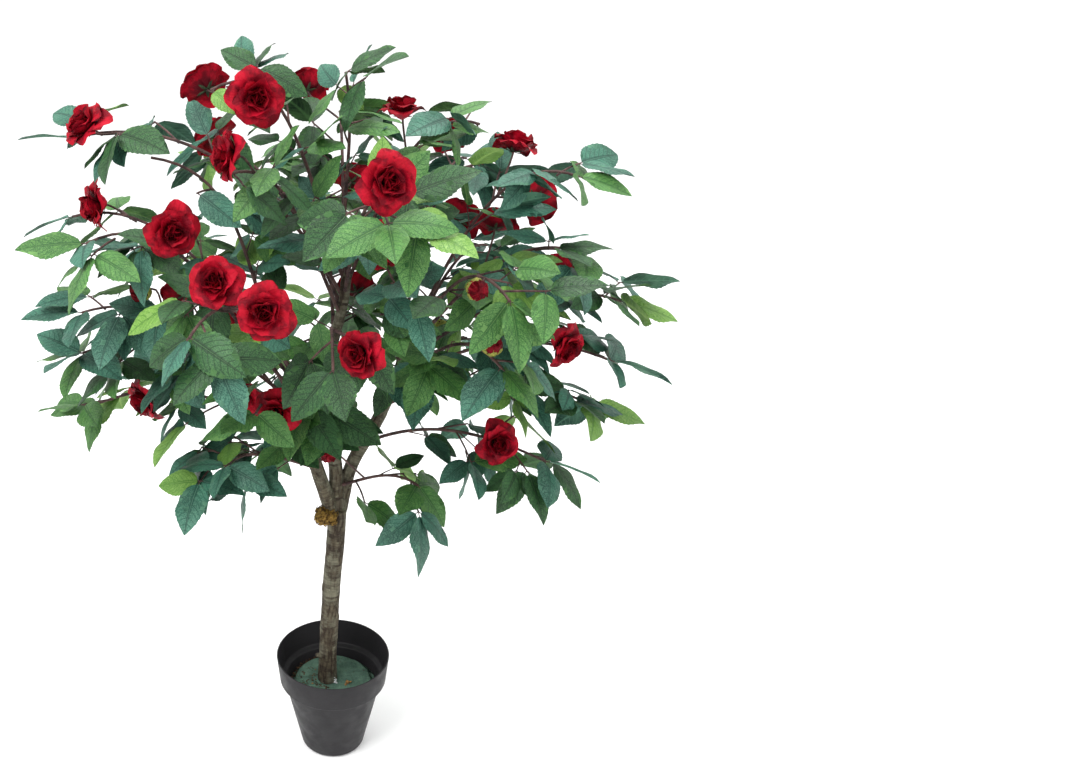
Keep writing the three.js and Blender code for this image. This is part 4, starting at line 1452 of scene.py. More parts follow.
def twig_piece(name: str, chains: Sequence[tuple[Array, Array]], sides: int, tree: NodeTree,
        material: Material) -> Object:
    """Makes one piece of many round twigs.

    Args:
        name: the name of the piece.
        chains: for every twig its points and its radii there, in millimetres.
        sides: how many sides a twig has.
        tree: the twig tree.
        material: its material.

    Returns:
        The finished piece.
    """
    points = np.concatenate([chain for chain, _ in chains]) * MM
    radii = np.concatenate([girths for _, girths in chains]) * MM
    edges: list[tuple[int, int]] = []
    start = 0
    for chain, _ in chains:
        edges += [(start + i, start + i + 1) for i in range(len(chain) - 1)]
        start += len(chain)
    mesh = bpy.data.meshes.new(name)
    mesh.from_pydata(points.tolist(), edges, [])
    mesh.attributes.new("girth", "FLOAT", "POINT").data.foreach_set("value", radii.astype(np.float32))
    return run_tree(new_object(f"{name}_lines", mesh), tree, name, Sides=sides, Material=material)


# ---------------------------------------------------------------- finishes


def srgb(red: int, green: int, blue: int) -> Colour:
    """The linear colour of an 8-bit one."""
    def linear(value: float) -> float:
        """One channel of it."""
        share = value / 255
        return share / 12.92 if share <= 0.04045 else ((share + 0.055) / 1.055) ** 2.4
    return (linear(red), linear(green), linear(blue), 1.0)


class Slot(Enum):
    """The record's material slots."""

    POT = "pot"
    FOAM = "foam"
    BARK = "bark"
    MOSS = "moss"
    FOLIAGE = "foliage"


class Groups:
    """The shader groups that several finishes share, each made once."""

    made: dict[str, NodeTree] = {}

    @classmethod
    def start(cls, name: str, inputs: Sequence[tuple[str, float]],
            outputs: Sequence[str]) -> tuple[NodeTree, Node, Node]:
        """Starts a group of number sockets.

        Args:
            name: its name.
            inputs: the name and the first value of every input.
            outputs: the name of every output.

        Returns:
            The group, its input node and its output node.
        """
        tree = bpy.data.node_groups.new(name, "ShaderNodeTree")
        for label, value in inputs:
            socket = tree.interface.new_socket(label, in_out="INPUT", socket_type="NodeSocketFloat")
            socket.default_value = value
        for label in outputs:
            tree.interface.new_socket(label, in_out="OUTPUT", socket_type="NodeSocketFloat")
        cls.made[name] = tree
        return tree, tree.nodes.new("NodeGroupInput"), tree.nodes.new("NodeGroupOutput")

    @classmethod
    def mottle(cls) -> NodeTree:
        """Uneven patches over the object, from 0 to 1."""
        if "Mottle" in cls.made:
            return cls.made["Mottle"]
        tree, entry, out = cls.start("Mottle", [("Scale", 20), ("Detail", 3), ("Low", 0.35),
            ("High", 0.65)], ["Value"])
        place = add_node(tree, "TexCoord").outputs["Object"]
        cloud = add_node(tree, "TexNoise", Vector=place, Scale=entry.outputs["Scale"],
            Detail=entry.outputs["Detail"])
        tree.links.new(fit(tree, cloud, entry.outputs["Low"], entry.outputs["High"]), out.inputs["Value"])
        return tree

    @classmethod
    def veins(cls) -> NodeTree:
        """A leaf's midrib, the band beside it, its side veins and the fine net, from its map."""
        if "Leaf veins" in cls.made:
            return cls.made["Leaf veins"]
        tree, entry, out = cls.start("Leaf veins", [("Side veins", 8.5)], ["Midrib", "Edge", "Veins", "Net"])
        sheet = add_node(tree, "UVMap", {"uv_map": "Sheet"}).outputs[0]
        cloud = add_node(tree, "TexNoise", Vector=sheet, Scale=5.0, Detail=2.0)
        parts = add_node(tree, "SeparateXYZ", Vector=sheet)
        off = math_node(tree, "ABSOLUTE", math_node(tree, "SUBTRACT", parts.outputs[0], 0.5))
        taper = math_node(tree, "SUBTRACT", 1.15, parts.outputs[1])
        rib = math_node(tree, "DIVIDE", off, taper)
        # Edge: the band beside the midrib, which the upper side paints as shade.
        for label, near, far in (("Midrib", 0.005, 0.013), ("Edge", 0.03, 0.1)):
            tree.links.new(fit(tree, rib, near, far, 1.0, 0.0), out.inputs[label])
        bent = math_node(tree, "POWER", off, 1.35)
        place = math_node(tree, "SUBTRACT", parts.outputs[1], math_node(tree, "MULTIPLY", bent, 0.95))
        place = math_node(tree, "ADD", place, math_node(tree, "MULTIPLY", cloud.outputs[0], 0.05))
        saw = math_node(tree, "PINGPONG", math_node(tree, "MULTIPLY", place, entry.outputs[0]), 0.5)
        tree.links.new(fit(tree, saw, 0.02, 0.11, 1.0, 0.0), out.inputs["Veins"])
        spread = add_node(tree, "Mapping", Vector=sheet, Scale=(17.0, 40.0, 1.0))
        cells = add_node(tree, "TexVoronoi", {"feature": "DISTANCE_TO_EDGE"}, Vector=spread, Scale=1.0)
        tree.links.new(fit(tree, cells, 0.02, 0.13, 1.0, 0.0), out.inputs["Net"])
        return tree

    @classmethod
    def streaks(cls) -> NodeTree:
        """Fine streaks that run along a petal, how near its root is, and its weave, from its map."""
        if "Petal streaks" in cls.made:
            return cls.made["Petal streaks"]
        tree, entry, out = cls.start("Petal streaks", [("Width", 14)], ["Streaks", "Root", "Weave"])
        sheet = add_node(tree, "UVMap", {"uv_map": "Sheet"}).outputs[0]
        parts = add_node(tree, "SeparateXYZ", Vector=sheet)
        across = math_node(tree, "MULTIPLY", parts.outputs[0], entry.outputs[0])
        long = add_node(tree, "CombineXYZ", X=across, Y=parts.outputs[1])
        cloud = add_node(tree, "TexNoise", Vector=long, Scale=1.6, Detail=3.0)
        tree.links.new(fit(tree, cloud, 0.35, 0.68), out.inputs["Streaks"])
        # Root: nearness to the petal's root, which the petal finish turns into painted shade.
        root = fit(tree, parts.outputs[1], 0.0, 0.62, 1.0, 0.0, interpolation_type="SMOOTHSTEP")
        tree.links.new(root, out.inputs["Root"])
        warp = math_node(tree, "SINE", math_node(tree, "MULTIPLY", parts.outputs[0], 420.0))
        weft = math_node(tree, "SINE", math_node(tree, "MULTIPLY", parts.outputs[1], 420.0))
        tree.links.new(math_node(tree, "MULTIPLY", warp, weft), out.inputs["Weave"])
        return tree


class Finish:
    """A material under way: its shader, and the masks and mixes that lead to it."""

    def __init__(self, name: str, roughness: float, **constants: object) -> None:
        """Starts a material.

        Args:
            name: its name.
            roughness: its roughness where nothing changes it.
            constants: a value for the shader's own sockets, with _ for a space.
        """
        self.material = bpy.data.materials.new(name)
        self.material.use_nodes = True
        self.tree = self.material.node_tree
        self.shader = self.tree.nodes["Principled BSDF"]
        self.shader.inputs["Roughness"].default_value = roughness
        for key, value in constants.items():
            self.shader.inputs[key.replace("_", " ")].default_value = value

    def group(self, group: NodeTree, **values: float) -> Node:
        """Places a shared group with its own values."""
        return add_node(self.tree, "Group", {"node_tree": group}, **values)

    def mottle(self, scale: float, detail: float = 3.0, low: float = 0.35, high: float = 0.65) -> Socket:
        """Patches over the object, from 0 to 1."""
        return self.group(Groups.mottle(), Scale=scale, Detail=detail, Low=low, High=high).outputs[0]

    def noise(self, place: Socket, stretch: Triple, detail: float, low: float, high: float) -> Socket:
        """A stretched noise from 0 to 1.

        Args:
            place: the coordinates that it reads.
            stretch: how often it repeats along each axis.
            detail: its detail.
            low: the value that becomes 0.
            high: the value that becomes 1.

        Returns:
            The noise.
        """
        spread = add_node(self.tree, "Mapping", Vector=place, Scale=stretch)
        cloud = add_node(self.tree, "TexNoise", Vector=spread, Scale=1.0, Detail=detail)
        return fit(self.tree, cloud, low, high)

    def span(self, mask: Socket, first: float, last: float) -> Socket:
        """Turns a mask into values from first to last."""
        return fit(self.tree, mask, 0.0, 1.0, first, last)

    def mix(self, share: Socket, first: Socket | Colour, second: Socket | Colour,
            strength: float = 1.0) -> Socket:
        """Mixes two colours by a mask.

        Args:
            share: the mask.
            first: the colour where it is 0.
            second: the colour where it is 1.
            strength: how much of the second colour comes through at most.

        Returns:
            The mixed colour.
        """
        if strength != 1.0:
            share = math_node(self.tree, "MULTIPLY", share, strength)
        return add_node(self.tree, "Mix", {"data_type": "RGBA"}, in0=share, in6=first,
            in7=second).outputs[2]

    def sum(self, *terms: tuple[Socket, float]) -> Socket:
        """Adds up values, each times its own factor."""
        total: Socket | float = 0.0
        for value, factor in terms:
            total = math_node(self.tree, "MULTIPLY_ADD", value, factor, total)
        return total

    def done(self, colour: Socket, roughness: Socket | None = None, height: Socket | None = None,
            depth: float = 0.0) -> Material:
        """Joins colour, roughness and bump to the shader.

        Args:
            colour: the base colour.
            roughness: the roughness, where it changes.
            height: the bump's height, from 0 to 1.
            depth: how deep the bump is, in millimetres.

        Returns:
            The material.
        """
        self.tree.links.new(colour, self.shader.inputs["Base Color"])
        if roughness:
            self.tree.links.new(roughness, self.shader.inputs["Roughness"])
        if height:
            bump = add_node(self.tree, "Bump", Height=height, Distance=depth * MM)
            self.tree.links.new(bump.outputs[0], self.shader.inputs["Normal"])
        return self.material


@dataclass(frozen=True)
class LeafFinish:
    """Printed leaf fabric: a tint, its darker shade, which also paints shade along the midrib of the upper
    side, and its lighter net of veins.
    """

    name: str
    tint: Colour
    shade: Colour
    vein: Colour
    under_tint: Colour

    def upper(self) -> Material:
        """The glossier upper side, with a pale midrib in a band of painted shade along the midrib's crease.
        """
        f = Finish(f"{self.name} leaf", 0.5, Specular_IOR_Level=0.3)
        veins = f.group(Groups.veins()).outputs
        colour = f.mix(f.mottle(20, 2, 0.3, 0.7), self.shade, self.tint)
        colour = f.mix(veins["Net"], colour, self.vein, 0.5)
        colour = f.mix(veins["Veins"], colour, self.shade, 0.75)
        # Painted shade: the dark band along the midrib, where the leaf folds into a crease.
        colour = f.mix(veins["Edge"], colour, self.shade, 0.85)
        colour = f.mix(veins["Midrib"], colour, self.vein, 0.5)
        rough = f.span(f.mottle(160), 0.42, 0.6)
        height = f.sum((veins["Veins"], -0.5), (veins["Midrib"], -0.7), (veins["Net"], -0.2),
            (f.mottle(240), 0.15))
        return f.done(colour, rough, height, 0.4)

    def under(self) -> Material:
        """The paler, duller under side, where the veins stand out."""
        f = Finish(f"{self.name} leaf under", 0.75, Specular_IOR_Level=0.25)
        veins = f.group(Groups.veins()).outputs
        colour = f.mix(f.mottle(30, 2, 0.3, 0.7), self.shade, self.under_tint)
        colour = f.mix(veins["Veins"], colour, self.vein, 0.35)
        colour = f.mix(veins["Edge"], colour, self.vein, 0.5)
        rough = f.span(f.mottle(160), 0.66, 0.84)
        height = f.sum((veins["Veins"], 0.5), (veins["Edge"], 0.7), (f.mottle(240), 0.3))
        return f.done(colour, rough, height, 0.5)


@dataclass(frozen=True)
class PetalFinish:
    """Dyed petal fabric: its colour, the darker one painted at its root as shade deep in the flower, and the
    brighter one of its streaks.
    """

    name: str
    colour: Colour
    root: Colour
    bright: Colour

    def make(self) -> Material:
        """A soft sheen over fine streaks and a fine weave."""
        f = Finish(f"{self.name} petal", 0.6, Specular_IOR_Level=0.14)
        streaks = f.group(Groups.streaks()).outputs
        colour = f.mix(f.mottle(40, 2), self.colour, self.bright, 0.4)
        colour = f.mix(streaks["Streaks"], colour, self.bright, 0.2)
        # Random dark patches in the root colour: painted shade, standing in for the shade of the petals'
        # folds.
        colour = f.mix(f.mottle(58, 3, 0.46, 0.6), colour, self.root, 0.7)
        # Painted shade: the root colour towards every petal's root, deep in the flower.
        colour = f.mix(streaks["Root"], colour, self.root, 0.95)
        rough = f.span(f.mottle(140), 0.54, 0.7)
        height = f.sum((streaks["Streaks"], 0.6), (streaks["Weave"], 0.05), (f.mottle(120), 0.4))
        return f.done(colour, rough, height, 0.6)


@dataclass(frozen=True)
class WoodFinish:
    """Thin bark: its dark and light tones, grey lichen, and the depth of its relief."""

    name: str
    dark: Colour
    light: Colour
    lichen: Colour
    depth: float

    def make(self) -> Material:
        """Long grain, fine bands and dark scars across it, raised pores and grey patches."""
        f = Finish(self.name, 0.85, Specular_IOR_Level=0.25)
        place = add_node(f.tree, "Attribute", {"attribute_name": "grain"}).outputs["Vector"]
        grain = f.noise(place, (230, 230, 60), 5, 0.38, 0.62)
        bands = f.noise(place, (38, 38, 520), 4, 0.44, 0.6)
        patches = f.noise(place, (52, 52, 26), 5, 0.47, 0.6)
        scars = f.noise(place, (30, 30, 130), 5, 0.56, 0.66)
        pores = f.noise(place, (150, 150, 900), 1, 0.66, 0.74)
        colour = f.mix(grain, self.dark, self.light)
        colour = f.mix(patches, colour, self.lichen, 0.62)
        colour = f.mix(bands, colour, self.dark, 0.5)
        colour = f.mix(scars, colour, self.dark, 0.85)
        colour = f.mix(pores, colour, self.lichen, 0.7)
        rough = f.span(grain, 0.95, 0.72)
        height = f.sum((grain, 0.7), (bands, -0.4), (scars, -0.5), (pores, 0.5))
        return f.done(colour, rough, height, self.depth)


@dataclass(frozen=True)
class TwigFinish:
    """Twigs wrapped in brown paper tape."""

    dark: Colour
    light: Colour

    def make(self) -> Material:
        """Brown with paler patches and the ridges of the wrap."""
        f = Finish("brown twig", 0.72, Specular_IOR_Level=0.3)
        colour = f.mix(f.mottle(70, 4), self.dark, self.light)
        colour = f.mix(f.mottle(420, 2, 0.5, 0.7), colour, self.light, 0.5)
        rough = f.span(f.mottle(200), 0.6, 0.82)
        return f.done(colour, rough, f.mottle(520, 3), 0.5)


@dataclass(frozen=True)
class FibreFinish:
    """Dried moss: strands that run from dark to straw."""

    name: str
    dark: Colour
    light: Colour

    def make(self) -> Material:
        """Strands that change in tone from one to the next."""
        f = Finish(self.name, 0.9, Specular_IOR_Level=0.15)
        colour = f.mix(f.mottle(190, 3, 0.36, 0.64), self.dark, self.light)
        rough = f.span(f.mottle(400), 0.82, 0.96)
        return f.done(colour, rough, f.mottle(900, 2), 0.4)


@dataclass(frozen=True)
class PotFinish:
    """Blow-moulded plastic: dark grey, dusty, with fine turned lines."""

    colour: Colour
    dust: Colour

    def make(self) -> Material:
        """A satin face with dusty patches and faint lines round it."""
        f = Finish("grey pot plastic", 0.5, Specular_IOR_Level=0.2)
        place = add_node(f.tree, "TexCoord").outputs["Object"]
        lines = f.noise(place, (4, 4, 1500), 1, 0.35, 0.65)
        scuffs = f.noise(place, (90, 90, 700), 3, 0.62, 0.72)
        colour = f.mix(f.mottle(14, 4, 0.3, 0.7), self.colour, self.dust, 0.35)
        colour = f.mix(scuffs, colour, self.dust, 0.4)
        rough = f.span(f.mottle(45, 4), 0.42, 0.6)
        height = f.sum((lines, 0.25), (f.mottle(380, 2), 0.25), (scuffs, 0.3))
        return f.done(colour, rough, height, 0.12)


@dataclass(frozen=True)
class FoamFinish:
    """Dry flower foam: dusty green, full of fine pores and pressed-in dirt."""

    pale: Colour
    deep: Colour
    dirt: Colour

    def make(self) -> Material:
        """Pores darkened with painted shade, hollows and dirt over a dull green."""
        f = Finish("green foam", 0.95, Specular_IOR_Level=0.1)
        colour = f.mix(f.mottle(60, 5), self.deep, self.pale)
        colour = f.mix(f.mottle(35, 6, 0.6, 0.7), colour, self.dirt, 0.6)
        pores = f.mottle(900, 2, 0.55, 0.68)
        # Painted shade in the pores.
        colour = f.mix(pores, colour, self.deep, 0.6)
        rough = f.span(pores, 0.9, 1.0)
        height = f.sum((pores, -0.6), (f.mottle(180, 5), 0.9))
        return f.done(colour, rough, height, 1.2)


@dataclass(frozen=True)
class CrumbFinish:
    """Small loose stuff, such as soil, bark bits and dried glue."""

    name: str
    dark: Colour
    light: Colour
    roughness: float

    def make(self) -> Material:
        """Patches of two tones with a rough face."""
        f = Finish(self.name, self.roughness, Specular_IOR_Level=0.25)
        colour = f.mix(f.mottle(240, 4), self.dark, self.light)
        rough = f.span(f.mottle(300), self.roughness - 0.1, self.roughness + 0.05)
        return f.done(colour, rough, f.mottle(700, 3), 0.5)


class Tint(Enum):
    """The leaf tints, dealt by cluster."""

    TEAL = "teal"
    DEEP = "deep"
    MID = "mid"
    LIGHT = "light"


LEAF_FINISHES: dict[Tint, LeafFinish] = {
    Tint.TEAL: LeafFinish("teal", srgb(52, 104, 86), srgb(25, 62, 52), srgb(98, 146, 122),
                          srgb(84, 128, 104)),
    Tint.DEEP: LeafFinish("deep", srgb(38, 78, 43), srgb(19, 45, 24), srgb(76, 118, 68),
                          srgb(72, 112, 64)),
    Tint.MID: LeafFinish("mid", srgb(66, 116, 57), srgb(36, 78, 36), srgb(116, 158, 86),
                         srgb(98, 138, 78)),
    Tint.LIGHT: LeafFinish("light", srgb(106, 150, 64), srgb(68, 112, 42), srgb(152, 186, 100),
                           srgb(128, 162, 88)),
}
TINT_SHARES: dict[Tint, float] = {Tint.TEAL: 0.38, Tint.DEEP: 0.22, Tint.MID: 0.26, Tint.LIGHT: 0.14}
# Inner and heart petals: the outer red darkened step by step inward, as painted shade.
OUTER_PETAL = PetalFinish("outer", srgb(148, 2, 24), srgb(70, 0, 15), srgb(196, 14, 46))
INNER_PETAL = PetalFinish("inner", srgb(126, 2, 20), srgb(52, 0, 12), srgb(176, 10, 36))
HEART_PETAL = PetalFinish("heart", srgb(104, 1, 16), srgb(38, 0, 7), srgb(146, 6, 30))
BARK = WoodFinish("bark", srgb(50, 41, 33), srgb(92, 84, 67), srgb(122, 121, 103), 1.2)
TWIG = TwigFinish(srgb(44, 31, 31), srgb(98, 72, 68))
MOSS_STRANDS = FibreFinish("dried moss", srgb(66, 48, 22), srgb(158, 124, 62))
POT_PLASTIC = PotFinish(srgb(33, 32, 34), srgb(50, 48, 50))
GREEN_FOAM = FoamFinish(srgb(94, 122, 106), srgb(72, 96, 84), srgb(46, 42, 32))
SOIL = CrumbFinish("soil crumbs", srgb(38, 28, 20), srgb(82, 62, 42), 0.9)
BARK_BITS = CrumbFinish("bark bits", srgb(96, 66, 36), srgb(156, 118, 70), 0.85)
GLUE = CrumbFinish("dried glue", srgb(186, 190, 190), srgb(232, 236, 236), 0.5)
CALYX = CrumbFinish("calyx", srgb(34, 42, 32), srgb(66, 76, 50), 0.7)
SEPAL = CrumbFinish("bud scales", srgb(104, 112, 40), srgb(160, 158, 76), 0.7)


# ---------------------------------------------------------------- leaf and petal shapes


@dataclass(frozen=True)
class LeafShape:
    """A leaf of unit length: X along its midrib, Y across, Z out of its upper side."""

    bow: float
    fold: float
    wave: float
    twist: float
    phase: float
    width: float = 0.56
    neck: float = 0.06
    tooth: float = 0.015
    thickness: float = 0.006
    rows: tuple[float, ...] = (0.0, 0.13, 0.29, 0.46, 0.63, 0.81, 1.0)
    teeth: tuple[Pair, ...] = ((0.42, 1.0), (0.5, 0.0), (0.92, 1.0))

    def half(self, share: float) -> float:
        """Half the width at a share of the blade, which draws in before its tip."""
        drawn = 1 - 0.14 * max(0.0, (share - 0.6) / 0.4)
        return self.width / 2 * drawn * share ** 0.64 * (1 - share) ** 0.85 / 0.3585

    def place(self, share: float, off: float, drop: float) -> Triple:
        """A point of the blade.

        Args:
            share: how far along the blade.
            off: how far across from the midrib.
            drop: how far below the upper side.

        Returns:
            The point.
        """
        along = self.neck + (1 - self.neck) * share
        ripple = self.wave * math.sin(9.5 * share + self.phase + (1.3 if off > 0 else 0)) * abs(off)
        lift = self.fold * abs(off) - 1.2 * off * off + ripple - drop
        turn = self.twist * share
        return (along, off * math.cos(turn) - lift * math.sin(turn),
            off * math.sin(turn) + lift * math.cos(turn) - self.bow * along * along)

    def mesh(self, name: str) -> Mesh:
        """Builds the leaf as one closed blade with a toothed rim.

        Args:
            name: the mesh's name.

        Returns:
            The mesh.
        """
        points: list[Triple] = []
        places: list[Pair] = []

        def put(share: float, off: float, drop: float = 0.0) -> int:
            """Adds a point and its place on the map."""
            points.append(self.place(share, off, drop))
            places.append((0.5 + off / 0.6, share))
            return len(points) - 1

        inner = self.rows[1:-1]
        base, tip = put(0.0, 0.0), put(1.0, 0.0)
        ribs = {drop: [base, *(put(s, 0.0, drop) for s in inner), tip] for drop in (0.0, self.thickness)}
        faces: list[tuple[int, ...]] = []
        marks: list[bool] = []
        for side in (1, -1):
            rims = [base, *(put(s, side * self.half(s)) for s in inner), tip]
            teeth = [
                [put(s, side * (self.half(s) + reach * self.tooth * min(1.0, 3 * (1 - s))))
                 for s, reach in ((lerp(low, high, t), reach) for t, reach in self.teeth)]
                for low, high in zip(self.rows, self.rows[1:])
            ]
            for drop, rib in ribs.items():
                mids = [base, *(put(s, side * self.half(s) * 0.52, drop) for s in inner), tip]
                for i in range(len(self.rows) - 1):
                    near = [rib[i], rib[i + 1], mids[i + 1], mids[i]]
                    far = [mids[i], mids[i + 1], rims[i + 1], *reversed(teeth[i]), rims[i]]
                    for corners in (near, far):
                        ring = [c for n, c in enumerate(corners) if c != corners[n - 1]]
                        if (side < 0) != (drop > 0):
                            ring.reverse()
                        faces.append(tuple(ring))
                        marks.append(drop > 0)
        mesh = mesh_from(name, np.array(points), faces)
        mark_sheet(mesh, marks, places)
        return mesh


@dataclass(frozen=True)
class PetalShape:
    """A petal of unit length: X out from its root, Y across, Z towards the flower's heart."""

    width: float
    cup: float
    bowl: float = 0.0
    curl: float = 0.0
    belly: float = 0.0
    wave: float = 0.03
    phase: float = 0.0
    root: float = 0.3
    notch: float = 0.04
    cells: int = 5
    thickness: float = 0.014

    def mesh(self, name: str) -> Mesh:
        """Builds the petal as a thin closed sheet.

        Args:
            name: the mesh's name.

        Returns:
            The mesh.
        """
        count = self.cells + 1
        s, t = np.meshgrid(np.linspace(0, 1, count), np.linspace(-1, 1, count), indexing="ij")
        half = self.root + (1 - self.root) * np.sin(np.pi / 2 * np.minimum(1, s / 0.62))
        half = half * (1 - 0.2 * np.maximum(0, (s - 0.62) / 0.38) ** 2) * self.width / 2
        x = s * (1 - 0.19 * s * s * t * t) - self.notch * s ** 6 * (1 - t * t) ** 3
        y = half * t * (1 - 0.1 * s ** 3 * t * t)
        z = 2 * self.cup * y * y + self.bowl * s * s - 2.2 * self.curl * np.maximum(0, s - 0.5) ** 2
        z = z - self.belly * np.sin(np.pi * s) + self.wave * np.sin(3.3 * t + self.phase) * s * s
        return closed_sheet(name, np.stack([x, y, z], axis=2), self.thickness)


LEAF_SHAPES = (
    LeafShape(bow=0.17, fold=0.34, wave=0.08, twist=0.2, phase=0.0, width=0.53),
    LeafShape(bow=0.25, fold=0.24, wave=0.12, twist=-0.3, phase=1.1, width=0.51),
    LeafShape(bow=0.19, fold=0.44, wave=0.07, twist=0.1, phase=2.3, width=0.55),
    LeafShape(bow=0.28, fold=0.2, wave=0.13, twist=0.34, phase=3.4, width=0.52),
    LeafShape(bow=0.15, fold=0.3, wave=0.1, twist=-0.14, phase=4.4, width=0.55),
    LeafShape(bow=0.22, fold=0.38, wave=0.06, twist=-0.36, phase=5.2, width=0.49),
)


class Tone(Enum):
    """The petal tones, from the outside in, each darker than the last as painted shade, and the green parts.
    """

    OUTER = "petals_outer"
    INNER = "petals_inner"
    HEART = "petals_heart"
    CALYX = "calyx_stars"
    SCALE = "bud_scales"


PETAL_SHAPES: dict[Tone, tuple[PetalShape, ...]] = {
    Tone.OUTER: (
        PetalShape(width=1.12, cup=0.22, bowl=0.14, curl=0.66, phase=0.4, wave=0.09),
        PetalShape(width=1.06, cup=0.36, bowl=0.28, curl=0.45, phase=2.2, wave=0.12),
        PetalShape(width=1.18, cup=0.16, bowl=0.08, curl=0.75, phase=4.0, notch=0.09, wave=0.11),
        PetalShape(width=1.1, cup=0.5, bowl=0.36, curl=0.32, phase=5.1, wave=0.13),
    ),
    Tone.INNER: (
        PetalShape(width=1.14, cup=0.52, bowl=0.28, curl=0.38, phase=0.9, cells=4, wave=0.14),
        PetalShape(width=1.06, cup=0.68, bowl=0.36, curl=0.3, phase=2.9, cells=4, wave=0.15),
        PetalShape(width=1.08, cup=0.8, bowl=0.4, curl=0.14, phase=4.6, cells=4, wave=0.12),
    ),
    Tone.HEART: (
        PetalShape(width=1.0, cup=0.85, bowl=0.34, phase=0.2, cells=4, wave=0.08),
        PetalShape(width=0.9, cup=1.0, bowl=0.46, phase=3.0, cells=4, wave=0.08),
        PetalShape(width=0.92, cup=1.0, bowl=0.3, belly=0.36, cells=4, root=0.36, wave=0.03),
    ),
    Tone.CALYX: (
        PetalShape(width=0.36, cup=0.5, bowl=0.12, curl=-0.1, notch=-0.25, cells=3, root=0.7),
    ),
    Tone.SCALE: (
        PetalShape(width=0.94, cup=0.9, bowl=-0.1, belly=0.36, notch=-0.06, cells=4, root=0.5,
                   thickness=0.03),
    ),
}


@dataclass(frozen=True)
class PetalRing:
    """One ring of petals: how many, how long, how steep, and where they are rooted."""

    tone: Tone
    shapes: tuple[int, ...]
    count: int
    length: float
    elevation: float
    radius: float
    height: float
    jitter: float = 7.0


BLOOM_RINGS = (
    PetalRing(Tone.OUTER, (0, 2, 1), 6, 39.5, 22, 3.0, -4.5, 9.0),
    PetalRing(Tone.OUTER, (3, 1, 0), 6, 35.0, 41, 3.0, -3.0, 11.0),
    PetalRing(Tone.INNER, (0, 1), 6, 30.0, 55, 3.0, -1.5, 12.0),
    PetalRing(Tone.INNER, (2, 1), 5, 25.0, 67, 2.6, -0.5, 13.0),
    PetalRing(Tone.HEART, (0, 1), 5, 19.5, 77, 1.8, 1.0, 14.0),
    PetalRing(Tone.CALYX, (0,), 5, 15.0, -4, 0.6, -5.6, 6.0),
)
BUD_RINGS = (
    PetalRing(Tone.HEART, (2,), 6, 28.5, 85, 4.6, -14.0, 5.0),
    PetalRing(Tone.HEART, (2,), 5, 27.5, 87, 3.0, -13.0, 5.0),
    PetalRing(Tone.SCALE, (0,), 5, 22.0, 86, 5.4, -15.0, 3.0),
)


# ---------------------------------------------------------------- sub-assemblies


def declare(piece: Object, slot: Slot, nodes: Sequence[str]) -> None:
    """Makes a piece ride on the tree and stand for the solids that it replaces."""
    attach(piece, BODY)
    if nodes:
        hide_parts(*nodes)
    LOG.info("%s: %d faces, for %d solids", piece.name, len(piece.data.polygons), len(nodes))


@dataclass
class Pot:
    """The nursery pot: a tapered body under a deep collar."""

    sizes: PotSizes = POT
    finish: PotFinish = POT_PLASTIC
    sides: int = 128
    lip: float = 1.05

    def profile(self) -> list[tuple[float, float, float]]:
        """Radius, height and rounding of every corner, from the underside round to the inner floor."""
        s = self.sizes
        foot = s.collar_foot
        return [(0, 0, 0), (s.base_radius - 4, 0, 0), (s.base_radius, 4, 3),
            (s.body_top_radius, foot - s.step, 1.2), (s.collar_foot_radius, foot, 1.2),
            (s.rim_radius, s.height, self.lip), (s.rim_radius - s.wall, s.height, self.lip),
            (s.collar_foot_radius - s.wall, foot + s.shelf, 2.5), (s.body_top_radius - s.wall, foot, 1.5),
            (s.base_radius - s.wall, s.floor, 1.5), (0, s.floor, 0)]

    def build(self) -> None:
        """Turns the pot and dresses it."""
        mesh = lathe("pot_shell", rounded(self.profile()), self.sides)
        sharpen(mesh, 50)
        mesh.materials.append(self.finish.make())
        declare(new_object("pot_shell", mesh), Slot.POT, ["pot"])


@dataclass(frozen=True)
class SoilPatch:
    """Soil crumbs round a middle: how many, between which angles and radii, how large and how high."""

    count: int
    degrees: Pair
    reach: Pair
    sizes: Pair
    height: float
    lift: Pair | None = None
    middle: float = 0.0


